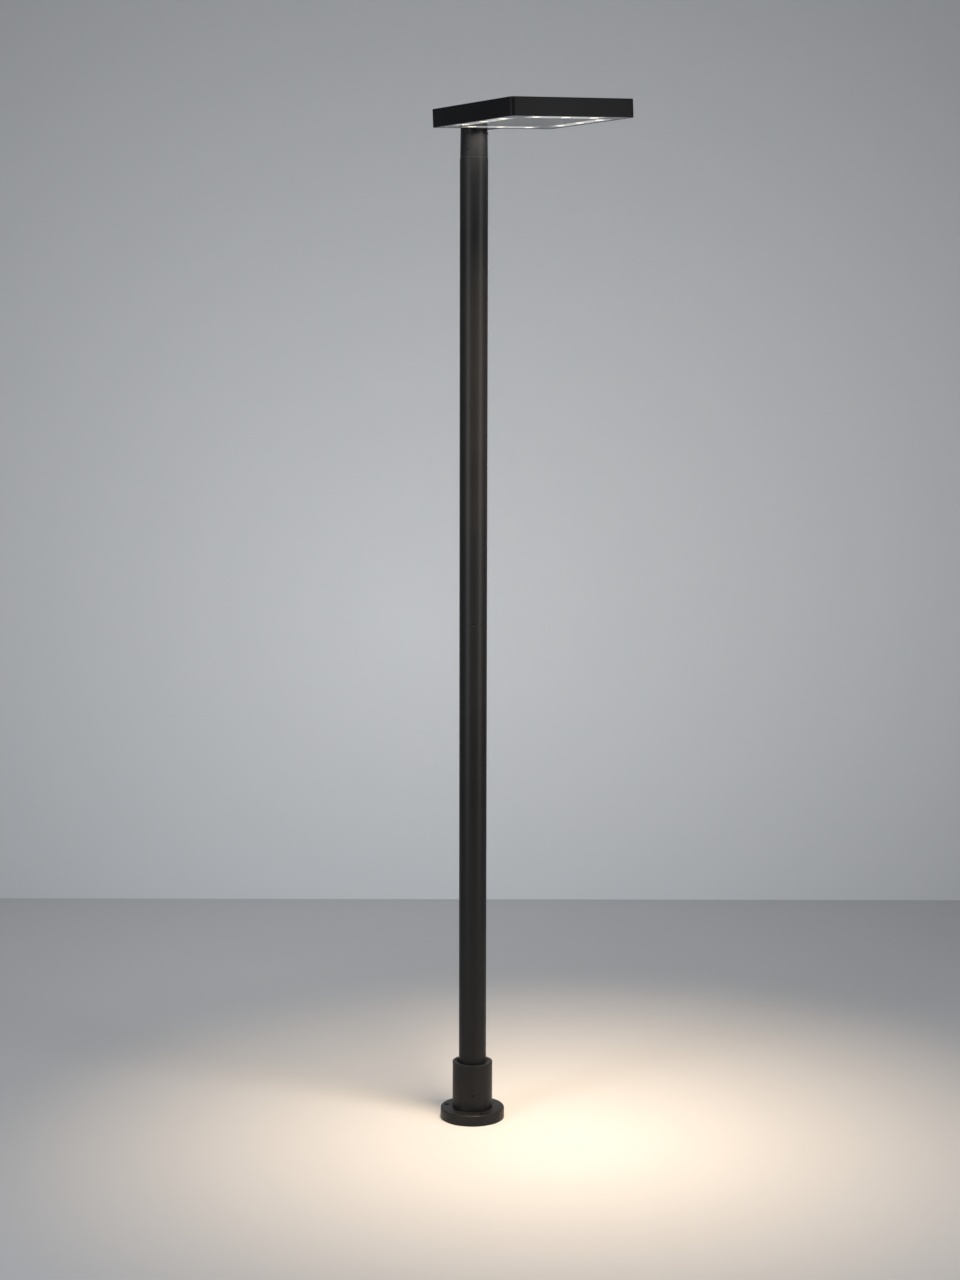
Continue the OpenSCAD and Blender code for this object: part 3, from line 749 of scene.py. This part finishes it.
@dataclass
class SwivelArm:
    """The tapered socket on the pole, the hollow arm and the arm's lid."""

    bore: float = 23.05 * MM
    roof: float = 5.0 * MM
    taper: float = 1.0 * MM
    screw_angles: tuple[float, float, float] = (-60.0, 60.0, 180.0)
    wall: float = 4.0 * MM
    edge: float = 0.8 * MM

    def build(self, dresser: Dresser) -> None:
        """Build and dress the arm's pieces.

        Args:
            dresser: What finishes and places them.
        """
        dresser.fit(self.socket(), Body.SWIVEL_ARM, Slot.COATED, "head_socket")
        for node, name in (("arm", "arm_casting"), ("arm_cover", "arm_lid")):
            dresser.fit(self.softened(node, name), Body.SWIVEL_ARM, Slot.COATED, node)

    def socket(self) -> bpy.types.Object:
        """Return the socket with its screw holes and the lead's hole in its roof."""
        low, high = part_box("head_socket")
        foot, top = high.x, high.x - self.taper
        lead = 4.5 * MM
        outline = [
            (self.bore, low.z), (foot, low.z), (top, high.z), (lead, high.z), (lead, high.z - self.roof),
            (self.bore, high.z - self.roof),
        ]
        piece = to_object(turned(outline, ROUND_STEPS, 0.5 * MM), "socket_sleeve")
        holes = []
        for node, radius in (("socket_screws_lower", 2.05 * MM), ("socket_screws_upper", 2.55 * MM)):
            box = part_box(node)
            height = (box[0].z + box[1].z) / 2
            holes += [rod(radius, foot, outward(angle, self.bore / 2, height)) for angle in self.screw_angles]
        for i in range(3):
            turn = Matrix.Rotation(i * FULL_TURN / 3, 4, "Z")
            place = turn @ Matrix.Translation((16 * MM, 0, high.z - self.roof - MM))
            holes.append(rod(2.05 * MM, self.roof + 2 * MM, place))
        return carve(piece, holes)

    def softened(self, node: str, name: str) -> bpy.types.Object:
        """Return a copy of one of the frame's nodes with its sharp edges rounded.

        Args:
            node: The node to copy.
            name: The copy's name.

        Returns:
            The new piece.
        """
        mesh = bmesh.new()
        mesh.from_mesh(frame["nodes"][node].data)
        bmesh.ops.remove_doubles(mesh, verts=mesh.verts, dist=2e-6)
        bmesh.ops.dissolve_limit(
            mesh, angle_limit=math.radians(0.5), verts=mesh.verts, edges=mesh.edges,
            use_dissolve_boundaries=False,
        )
        piece = to_object(mesh, name)
        modifier = piece.modifiers.new("edges", "BEVEL")
        modifier.width = 0.5 * MM
        modifier.segments = 2
        modifier.limit_method = "ANGLE"
        modifier.angle_limit = SHARP_ANGLE
        modifier.harden_normals = True
        bpy.context.view_layer.update()
        made = bpy.data.meshes.new_from_object(piece.evaluated_get(bpy.context.evaluated_depsgraph_get()))
        piece.modifiers.clear()
        piece.data = made
        return piece


@dataclass
class Head:
    """The square head: frame, ribbed plate, light boards, lenses and cover glass."""

    side: float = 298.0 * MM
    thick: float = 37.0 * MM
    corner: float = 9.0 * MM
    wall: float = 4.0 * MM
    ledge: float = 5.0 * MM
    glass_low: float = 0.2 * MM
    glass_high: float = 4.2 * MM
    ledge_low: float = 5.0 * MM
    tray_low: float = 9.3 * MM
    tray_high: float = 11.3 * MM
    ply: float = 0.3 * MM
    film_thick: float = 0.25 * MM
    film_gap: float = 0.02 * MM
    spot_radius: float = 9.0 * MM
    board_thick: float = 1.6 * MM
    board_wide: float = 36.0 * MM
    board_long: float = 180.0 * MM
    led_inset: float = 31.5 * MM
    led_pitch: float = 70.0 * MM
    plate_low: float = 31.5 * MM
    plate_thick: float = 2.5 * MM
    rib_high: float = 2.3 * MM
    rib_thick: float = 3.0 * MM
    rib_count: int = 13
    gap: float = 0.3 * MM

    def place(self) -> Matrix:
        """Return where the head's own frame is: its back face's middle, level with its underside."""
        joint = next(j for j in frame["joints"] if j["name"] == "head_roll")
        return (
            Matrix.Translation(joint["pos_m"]) @ Matrix.Rotation(HEAD_ROLL, 4, "X")
            @ Matrix.Translation((0, 0, -self.thick / 2))
        )

    def build(self, dresser: Dresser) -> None:
        """Build and dress the head's pieces.

        Args:
            dresser: What finishes and places them.
        """
        housing = dresser.fit(self.housing(), Body.HEAD, Slot.COATED, "housing_frame")
        # The housing takes a darker copy of the pole's coat: painted shade on the head's faces.
        housing.data.materials[0] = dresser.coats["housing_coat_painted_shade"]
        dresser.fit(self.cooling_plate(), Body.HEAD, Slot.COATED, "top_plate")
        dresser.fit(self.pane(), Body.HEAD, Slot.GLASS, "cover_glass")
        for index, name in enumerate(("front", "left", "back", "right")):
            board = self.light_board(index, f"light_board_{name}")
            dresser.fit(board, Body.HEAD, Slot.BOARD, f"led_board_{name}")
        dresser.fit(self.lenses(), Body.HEAD, Slot.LENS, "led_lenses")
        dresser.fit(self.glass_print(), Body.HEAD, Slot.MASK)
        film = dresser.fit(self.window_film(), Body.HEAD, Slot.BOARD)
        film.data.materials[0] = dresser.coats["window_film"]
        spots = dresser.fit(self.light_spots(), Body.HEAD, Slot.LENS)
        spots.data.materials[0] = dresser.coats["light_spot"]
        dresser.fit(self.pads(), Body.HEAD, Slot.ZINC)

    def shifted(self, inset: float) -> Matrix:
        """Return the place of a plate that is smaller than the head by an inset all round."""
        return self.place() @ Matrix.Translation((inset, 0, 0))

    def housing(self) -> bpy.types.Object:
        """Return the frame: a rounded ring with two inner ledges."""
        inner = self.side - 2 * self.wall
        inner_corner = self.corner - self.wall
        opening = inner - 2 * self.ledge
        shape = rounded_slab(self.side, self.corner, 0, self.thick, 0.7 * MM)
        piece = to_object(shape, "housing_profile", self.place())
        ledge_top = self.plate_low - 3.5 * MM
        cuts = [
            (opening, self.wall + self.ledge, -MM, self.thick + MM),
            (inner, self.wall, -MM, self.ledge_low),
            (inner, self.wall, self.tray_low, ledge_top),
            (inner, self.wall, self.plate_low, self.thick + MM),
        ]
        tools = []
        for side, inset, low, high in cuts:
            tool = rounded_slab(side, inner_corner, low, high, 0)
            bmesh.ops.transform(tool, matrix=self.shifted(inset), verts=tool.verts)
            tools.append(tool)
        quarter = Matrix.Rotation(math.pi / 2, 4, "Y")
        axis = self.place() @ Matrix.Translation((0, 0, self.thick / 2)) @ quarter
        tools.append(rod(11 * MM, self.ledge + MM, axis @ Matrix.Translation((0, 0, self.wall))))
        tools.append(rod(6.55 * MM, self.wall + 2 * MM, axis @ Matrix.Translation((0, 0, -MM))))
        for centre in Base.islands(frame["nodes"]["top_plate_screws"]):
            spot = Matrix.Translation(centre) @ Matrix.Rotation(HEAD_ROLL, 4, "X")
            tools.append(rod(1.4 * MM, 12 * MM, spot @ Matrix.Translation((0, 0, -6 * MM)), 16))
        return carve(piece, tools)

    def cooling_plate(self) -> bpy.types.Object:
        """Return the top plate with its low cooling ribs and screw seats."""
        inner = self.side - 2 * self.wall - 2 * self.gap
        high = self.plate_low + self.plate_thick
        slab = rounded_slab(inner, self.corner - self.wall, self.plate_low, high, 0.3 * MM)
        piece = to_object(slab, "cooling_plate", self.shifted(self.wall + self.gap))
        length = self.side - 2 * self.wall - 24 * MM
        step = (self.side - 2 * self.wall - 60 * MM) / (self.rib_count - 1)
        ribs = []
        for i in range(self.rib_count):
            rib = bmesh.new()
            bmesh.ops.create_cube(rib, size=1.0)
            bmesh.ops.scale(rib, vec=(length, self.rib_thick, self.rib_high + MM), verts=rib.verts)
            soften(rib, 0.5 * MM)
            across = (i - (self.rib_count - 1) / 2) * step
            middle = high + (self.rib_high - MM) / 2
            bmesh.ops.translate(rib, vec=(self.side / 2, across, middle), verts=rib.verts)
            bmesh.ops.transform(rib, matrix=self.place(), verts=rib.verts)
            ribs.append(rib)
        carve(piece, ribs, join=True)
        seats = []
        for centre in Base.islands(frame["nodes"]["top_plate_screws"]):
            spot = Matrix.Translation(centre) @ Matrix.Rotation(HEAD_ROLL, 4, "X")
            mouth = spot @ Matrix.Translation((0, 0, 3 * MM))
            seats.append(rod(1.3 * MM, 12 * MM, spot @ Matrix.Translation((0, 0, -6 * MM)), 16))
            seats.append(Base.countersink(mouth, 1.3 * MM, 1.25 * MM))
        return carve(piece, seats)

    def film_span(self) -> tuple[float, float]:
        """Return the heights of the film between the two plies of the glass."""
        low = self.glass_low + self.ply + self.film_gap
        return low, low + self.film_thick

    def pane(self) -> bpy.types.Object:
        """Return the cover glass: two plies with the printed film between them."""
        side = self.side - 2 * self.wall - 2 * self.gap
        corner = self.corner - self.wall
        _, film_high = self.film_span()
        whole = bmesh.new()
        plies = (self.glass_low, self.glass_low + self.ply), (film_high + self.film_gap, self.glass_high)
        for low, high in plies:
            ply = rounded_slab(side, corner, low, high, 0.1 * MM)
            data = bpy.data.meshes.new("ply")
            ply.to_mesh(data)
            ply.free()
            whole.from_mesh(data)
            bpy.data.meshes.remove(data)
        return to_object(whole, "cover_pane", self.shifted(self.wall + self.gap))

    def board_place(self, turn: int) -> Matrix:
        """Return the place of the middle of a row of lights.

        Args:
            turn: Quarter turns from the front row.

        Returns:
            The matrix, whose +Y runs along the row.
        """
        return (
            self.place() @ Matrix.Translation((self.side / 2, 0, 0))
            @ Matrix.Rotation(turn * math.pi / 2, 4, "Z")
            @ Matrix.Translation((self.side / 2 - self.led_inset, 0, 0))
        )

    def light_board(self, turn: int, name: str) -> bpy.types.Object:
        """Return one light board with rounded corners.

        Args:
            turn: Quarter turns from the front row.
            name: The piece's name.

        Returns:
            The new piece.
        """
        mesh = bmesh.new()
        bmesh.ops.create_cube(mesh, size=1.0)
        bmesh.ops.scale(mesh, vec=(self.board_wide, self.board_long, self.board_thick), verts=mesh.verts)
        bmesh.ops.translate(mesh, vec=(0, 0, self.tray_low - self.board_thick / 2), verts=mesh.verts)
        upright = [e for e in mesh.edges if abs(e.verts[0].co.z - e.verts[1].co.z) > self.board_thick / 2]
        bmesh.ops.bevel(
            mesh, geom=upright, offset=2 * MM, offset_type="OFFSET", affect="EDGES", segments=4, profile=0.5,
            material=-1, clamp_overlap=True,
        )
        return to_object(mesh, name, self.board_place(turn))

    def each_light(self) -> list[Matrix]:
        """Return the place of every light, at its board's underside, pointing down."""
        down = Matrix.Rotation(math.pi, 4, "X")
        places = []
        for turn in range(4):
            for i in (-1, 0, 1):
                spot = Matrix.Translation((0, i * self.led_pitch, self.tray_low - self.board_thick))
                places.append(self.board_place(turn) @ spot @ down)
        return places

    def lenses(self) -> bpy.types.Object:
        """Return the domed lenses, each with a lip on its board."""
        whole = bmesh.new()
        lip, dome, lip_high, high = 10 * MM, 9 * MM, 0.8 * MM, 3.0 * MM
        arc_steps = 7
        for place in self.each_light():
            one = bmesh.new()
            arc = []
            for k in range(arc_steps + 1):
                share = k / arc_steps
                turn = share * math.pi / 2
                rise = (high - lip_high) * math.sqrt(math.sin(turn))
                arc.append((dome * math.sqrt(math.cos(turn)) if k < arc_steps else 0.0, lip_high + rise))
            outline = [
                (2.8 * MM, 0.0), (lip, 0.0), (lip, lip_high), *arc, (0.0, 1.2 * MM), (2.8 * MM, 1.2 * MM),
            ]
            points = [one.verts.new((r, 0.0, z)) for r, z in outline]
            edges = [one.edges.new((a, b)) for a, b in zip(points, points[1:] + points[:1])]
            bmesh.ops.spin(
                one, geom=points + edges, cent=(0, 0, 0), axis=(0, 0, 1), angle=FULL_TURN, steps=SMALL_STEPS,
                use_merge=True,
            )
            bmesh.ops.remove_doubles(one, verts=one.verts, dist=1e-6)
            stray = [e for e in one.edges if not e.link_faces]
            bmesh.ops.delete(one, geom=stray, context="EDGES")
            bmesh.ops.recalc_face_normals(one, faces=one.faces)
            bmesh.ops.transform(one, matrix=place, verts=one.verts)
            data = bpy.data.meshes.new("lens")
            one.to_mesh(data)
            one.free()
            whole.from_mesh(data)
            bpy.data.meshes.remove(data)
        return to_object(whole, "lens_domes")

    def windows(self, low: float, high: float, spare: float) -> list[bmesh.types.BMesh]:
        """Make a slab for each row's window in the print on the glass.

        Args:
            low: Height of its underside.
            high: Height of its top.
            spare: How much smaller it is than the window all round.

        Returns:
            Four slabs.
        """
        slabs = []
        for turn in range(4):
            slab = bmesh.new()
            bmesh.ops.create_cube(slab, size=1.0)
            size = (self.board_wide - 2 * spare, self.board_long - 2 * spare, high - low)
            bmesh.ops.scale(slab, vec=size, verts=slab.verts)
            bmesh.ops.translate(slab, vec=(0, 0, (low + high) / 2), verts=slab.verts)
            bmesh.ops.transform(slab, matrix=self.board_place(turn), verts=slab.verts)
            slabs.append(slab)
        return slabs

    def glass_print(self) -> bpy.types.Object:
        """Return the dark print in the glass, with a window for each row of lights."""
        side = self.side - 2 * (self.wall + self.gap) - 0.6 * MM
        low, high = self.film_span()
        shape = rounded_slab(side, self.corner - self.wall, low, high, 0)
        piece = to_object(shape, "glass_print", self.shifted((self.side - side) / 2))
        return carve(piece, self.windows(low - MM, high + MM, 0))

    def window_film(self) -> bpy.types.Object:
        """Return the frosted film in the windows, with a round hole for each light."""
        low, high = self.film_span()
        first, *others = self.windows(low, high, 0.1 * MM)
        piece = carve(to_object(first, "window_film"), others, join=True)
        reach = self.tray_low - self.board_thick - low + MM
        return carve(piece, [rod(self.spot_radius + 0.1 * MM, reach, place) for place in self.each_light()])

    def light_spots(self) -> bpy.types.Object:
        """Return the bright round spots that the lights make in the windows."""
        low, high = self.film_span()
        whole = bmesh.new()
        for place in self.each_light():
            drop = self.tray_low - self.board_thick - high
            bmesh.ops.create_cone(
                whole, cap_ends=True, cap_tris=False, segments=SMALL_STEPS, radius1=self.spot_radius,
                radius2=self.spot_radius, depth=high - low,
                matrix=place @ Matrix.Translation((0, 0, drop + (high - low) / 2)),
            )
        return to_object(whole, "light_spots")

    def pads(self) -> bpy.types.Object:
        """Return the solder pads beside each light on its board."""
        whole = bmesh.new()
        pad = (1.6 * MM, 3.2 * MM, 0.15 * MM)
        for place in self.each_light():
            for side in (-1, 1):
                for row in (-1, 1):
                    spot = Matrix.Translation((row * 13 * MM, side * 6 * MM, pad[2] / 2))
                    bmesh.ops.create_cube(
                        whole, size=1.0, matrix=place @ spot @ Matrix.Diagonal((*pad, 1.0)),
                    )
        bmesh.ops.recalc_face_normals(whole, faces=whole.faces)
        return to_object(whole, "solder_pads")


# ---- stage ------------------------------------------------------------------------------------


@dataclass(frozen=True)
class PaintedLightBackdrop:
    """A matt surface of the stage with painted light: its colour is brightest at one point and fades to
    painted shade at its edges.
    """

    name: str
    # Colour at the brightest point: painted light.
    middle: tuple[float, float, float]
    # Colour far from that point: painted shade.
    edge: tuple[float, float, float]
    centre: tuple[float, float, float]
    reach: float


@dataclass
class Stage:
    """The pale floor and wall with painted light and shade in their colour, the studio lights and the camera.
    """

    # Both sheets carry painted light: bright near their centre, with painted shade towards their edges and
    # corners.
    floor: PaintedLightBackdrop = PaintedLightBackdrop("floor", (0.68, 0.68, 0.69), (0.40, 0.41, 0.43), (-0.60, 1.2, 0.0), 3.4)
    wall: PaintedLightBackdrop = PaintedLightBackdrop("wall", (0.85, 0.87, 0.89), (0.39, 0.40, 0.42), (-0.20, 2.04, 0.86), 2.8)

    distance: float = 4.9326
    sideways: float = 0.0148
    height: float = 1.6876
    heading: float = math.radians(57.16)
    pitch: float = math.radians(7.156)
    roll: float = math.radians(0.123)
    sensor: float = 36.0
    lens: float = 64.5
    wall_behind: float = 2.04

    def build(self) -> None:
        """Build the stage."""
        self.backdrop()
        self.lights()
        self.camera()

    def turn(self) -> Matrix:
        """Return the turn from the camera's directions, right and away, to the frame's."""
        return Matrix.Rotation(self.heading, 4, "Z")

    def surface(self, paint: PaintedLightBackdrop) -> bpy.types.Material:
        """Return a matt surface whose colour holds painted light, brightest at one point with painted shade
        towards its edges, and clear from behind.

        Args:
            paint: The surface's colours of painted light and shade, and where the painted light is brightest.

        Returns:
            The material.
        """
        tree = ShaderTree(f"{paint.name}_paint")
        mapping = tree.tree.nodes.new("ShaderNodeMapping")
        mapping.vector_type = "TEXTURE"
        mapping.inputs["Location"].default_value = self.turn() @ Vector(paint.centre)
        mapping.inputs["Scale"].default_value = (paint.reach, paint.reach, paint.reach)
        tree.link(tree.coords, mapping.inputs["Vector"])
        fade = tree.tree.nodes.new("ShaderNodeTexGradient")
        fade.gradient_type = "SPHERICAL"
        tree.link(mapping.outputs["Vector"], fade.inputs["Vector"])
        # Painted light: the colour fades from the bright middle to painted shade at the edges, standing in
        # for the studio light's falloff.
        tint = tree.ramp(fade.outputs["Fac"], paint.edge, paint.middle, (0.0, 1.0))
        tree.link(tint, tree.shader.inputs["Base Color"])
        tree.set(Roughness=0.8, Specular_IOR_Level=0.15)
        side = tree.tree.nodes.new("ShaderNodeNewGeometry")
        tree.link(tree.spread(side.outputs["Backfacing"], 1.0, 0.0), tree.shader.inputs["Alpha"])
        return tree.material

    def backdrop(self) -> None:
        """Build the floor and the wall behind the post."""
        level = Matrix.Identity(4)
        behind = Matrix.Translation((0, self.wall_behind, 0))
        upright = self.turn() @ behind @ Matrix.Rotation(math.pi / 2, 4, "X")
        for paint, place in ((self.floor, level), (self.wall, upright)):
            mesh = bmesh.new()
            bmesh.ops.create_grid(mesh, x_segments=2, y_segments=2, size=14.0)
            sheet = to_object(mesh, paint.name, place)
            sheet.data.materials.append(self.surface(paint))

    def lights(self) -> None:
        """Build the studio's soft lights and the lamp's own warm light."""
        world = bpy.data.worlds.new("studio")
        world.use_nodes = True
        world.node_tree.nodes["Background"].inputs["Color"].default_value = (0.96, 0.98, 1.0, 1.0)
        world.node_tree.nodes["Background"].inputs["Strength"].default_value = 0.38
        bpy.context.scene.world = world
        self.softbox("key_left", (-2.15, -2.15, 1.4), (0.9, 2.0), 38.0, (0.96, 0.98, 1.0))
        self.softbox("fill_right", (2.55, -1.55, 1.4), (0.8, 2.0), 36.0, (1.0, 0.99, 0.98))
        self.head_light("lamp_glow", Head.side * 0.62, 8.6, (1.0, 0.77, 0.53), math.radians(63))
        self.head_light("lamp_spill", Head.side * 0.30, 1.2, (1.0, 0.92, 0.84), math.radians(175))

    def softbox(
        self, name: str, spot: tuple[float, float, float], size: tuple[float, float], power: float,
        colour: tuple[float, float, float],
    ) -> None:
        """Add a soft rectangular light that faces the post.

        Args:
            name: The light's name.
            spot: Its place to the camera's right, away from the camera and up, from the post's foot.
            size: Its width and height.
            power: Its power in watts.
            colour: Its colour.
        """
        lamp = bpy.data.lights.new(name, "AREA")
        lamp.shape = "RECTANGLE"
        lamp.size, lamp.size_y = size
        lamp.energy = power
        lamp.color = colour
        holder = bpy.data.objects.new(name, lamp)
        place = self.turn() @ Vector(spot)
        aim = Vector((0, 0, 1.1)) - place
        holder.matrix_world = Matrix.Translation(place) @ aim.to_track_quat("-Z", "Y").to_matrix().to_4x4()
        bpy.context.scene.collection.objects.link(holder)

    def head_light(
        self, name: str, out: float, power: float, colour: tuple[float, float, float], spread: float
    ) -> None:
        """Add a warm light under the head, which moves with the head.

        Args:
            name: The light's name.
            out: Its place along the head's side, away from the post.
            power: Its power in watts.
            colour: Its colour.
            spread: The whole angle of its beam.
        """
        lamp = bpy.data.lights.new(name, "AREA")
        lamp.shape = "SQUARE"
        lamp.size = 0.22
        lamp.energy = power
        lamp.color = colour
        lamp.spread = spread
        holder = bpy.data.objects.new(name, lamp)
        holder.parent = frame["bodies"][Body.HEAD.value]
        holder.matrix_world = Head().place() @ Matrix.Translation((out, 0, -2 * MM))
        bpy.context.scene.collection.objects.link(holder)

    def camera(self) -> None:
        """Build the camera at eye height, a little above the head's middle."""
        lens = bpy.data.cameras.new("view")
        lens.sensor_fit = "VERTICAL"
        lens.sensor_height = self.sensor
        lens.lens = self.lens
        lens.clip_end = 60.0
        holder = bpy.data.objects.new("view", lens)
        place = self.turn() @ Vector((self.sideways, -self.distance, self.height))
        tilt = Matrix.Rotation(math.pi / 2 - self.pitch, 4, "X")
        holder.matrix_world = (
            Matrix.Translation(place) @ self.turn() @ tilt @ Matrix.Rotation(self.roll, 4, "Z")
        )
        bpy.context.scene.collection.objects.link(holder)
        bpy.context.scene.camera = holder
        bpy.context.scene.view_settings.view_transform = "Standard"
        bpy.context.scene.view_settings.exposure = 0.0


def finishes() -> dict[str, bpy.types.Material]:
    """Return every finish, by the material slot that it belongs to."""
    chosen: dict[str, Finish] = {
        "coated_aluminium": PowderCoat(
            "anthracite_coat", (0.0075, 0.0075, 0.0080), (0.0100, 0.0100, 0.0106),
        ),
        # A darker copy of the anthracite coat with less sheen: painted shade, as the head wears the same coat
        # as the pole.
        "housing_coat_painted_shade": PowderCoat(
            "housing_coat_painted_shade", (0.0060, 0.0060, 0.0066), (0.0082, 0.0082, 0.0090), sheen=0.12,
        ),
        "bare_aluminium": MachinedMetal(
            "machined_aluminium", (0.55, 0.56, 0.58), (0.68, 0.69, 0.70), (0.28, 0.42),
        ),
        "zinc_steel": MachinedMetal(
            "zinc_plate", (0.55, 0.57, 0.60), (0.70, 0.71, 0.70), (0.25, 0.40), 500.0,
        ),
        "black_steel": MachinedMetal(
            "blackened_steel", (0.015, 0.015, 0.016), (0.03, 0.03, 0.031), (0.50, 0.65), 500.0,
        ),
        "brass": MachinedMetal("turned_brass", (0.62, 0.44, 0.16), (0.75, 0.56, 0.24), (0.25, 0.38)),
        "black_rubber": Moulding("seal_rubber", (0.010, 0.010, 0.010), (0.018, 0.018, 0.018), (0.70, 0.85)),
        "cable_jacket": Moulding(
            "cable_jacket", (0.012, 0.012, 0.012), (0.020, 0.020, 0.020), (0.45, 0.60),
        ),
        "black_plastic": Moulding(
            "black_nylon", (0.014, 0.014, 0.014), (0.024, 0.024, 0.024), (0.40, 0.55),
        ),
        "white_plastic": Moulding("white_case", (0.70, 0.70, 0.67), (0.80, 0.80, 0.77), (0.40, 0.55)),
        "red_plastic": Moulding("red_case", (0.42, 0.06, 0.04), (0.52, 0.09, 0.06), (0.35, 0.50)),
        "board_white": Moulding(
            "board_lacquer", (0.74, 0.74, 0.72), (0.84, 0.84, 0.82), (0.30, 0.42), 300.0,
        ),
        "mask_grey": Moulding("mask_lacquer", (0.085, 0.085, 0.090), (0.115, 0.115, 0.120), (0.35, 0.50)),
        "led_chip": GlowingLens("lit_phosphor", (1.0, 0.80, 0.48), 6.0),
        "lens_clear": GlowingLens("lit_lens", (1.0, 0.90, 0.72), 3.0),
        "glass": PaneGlass("pane", (0.90, 0.93, 0.95)),
        "window_film": BacklitFilm("frosted_film", (0.70, 0.70, 0.68), (0.80, 0.80, 0.78), 0.30),
        "light_spot": GlowingLens("light_spot", (1.0, 0.91, 0.74), 2.2),
    }
    return {slot: finish.material() for slot, finish in chosen.items()}


def main() -> None:
    """Build the stage, dress the frame's nodes and build the new pieces."""
    logging.basicConfig(level=logging.INFO, format="%(name)s: %(message)s")
    Stage().build()
    dresser = Dresser(finishes())
    dresser.dress_nodes()
    for assembly in (Base(), Pole(), SwivelArm(), Head()):
        assembly.build(dresser)


if __name__ == "__main__":
    main()
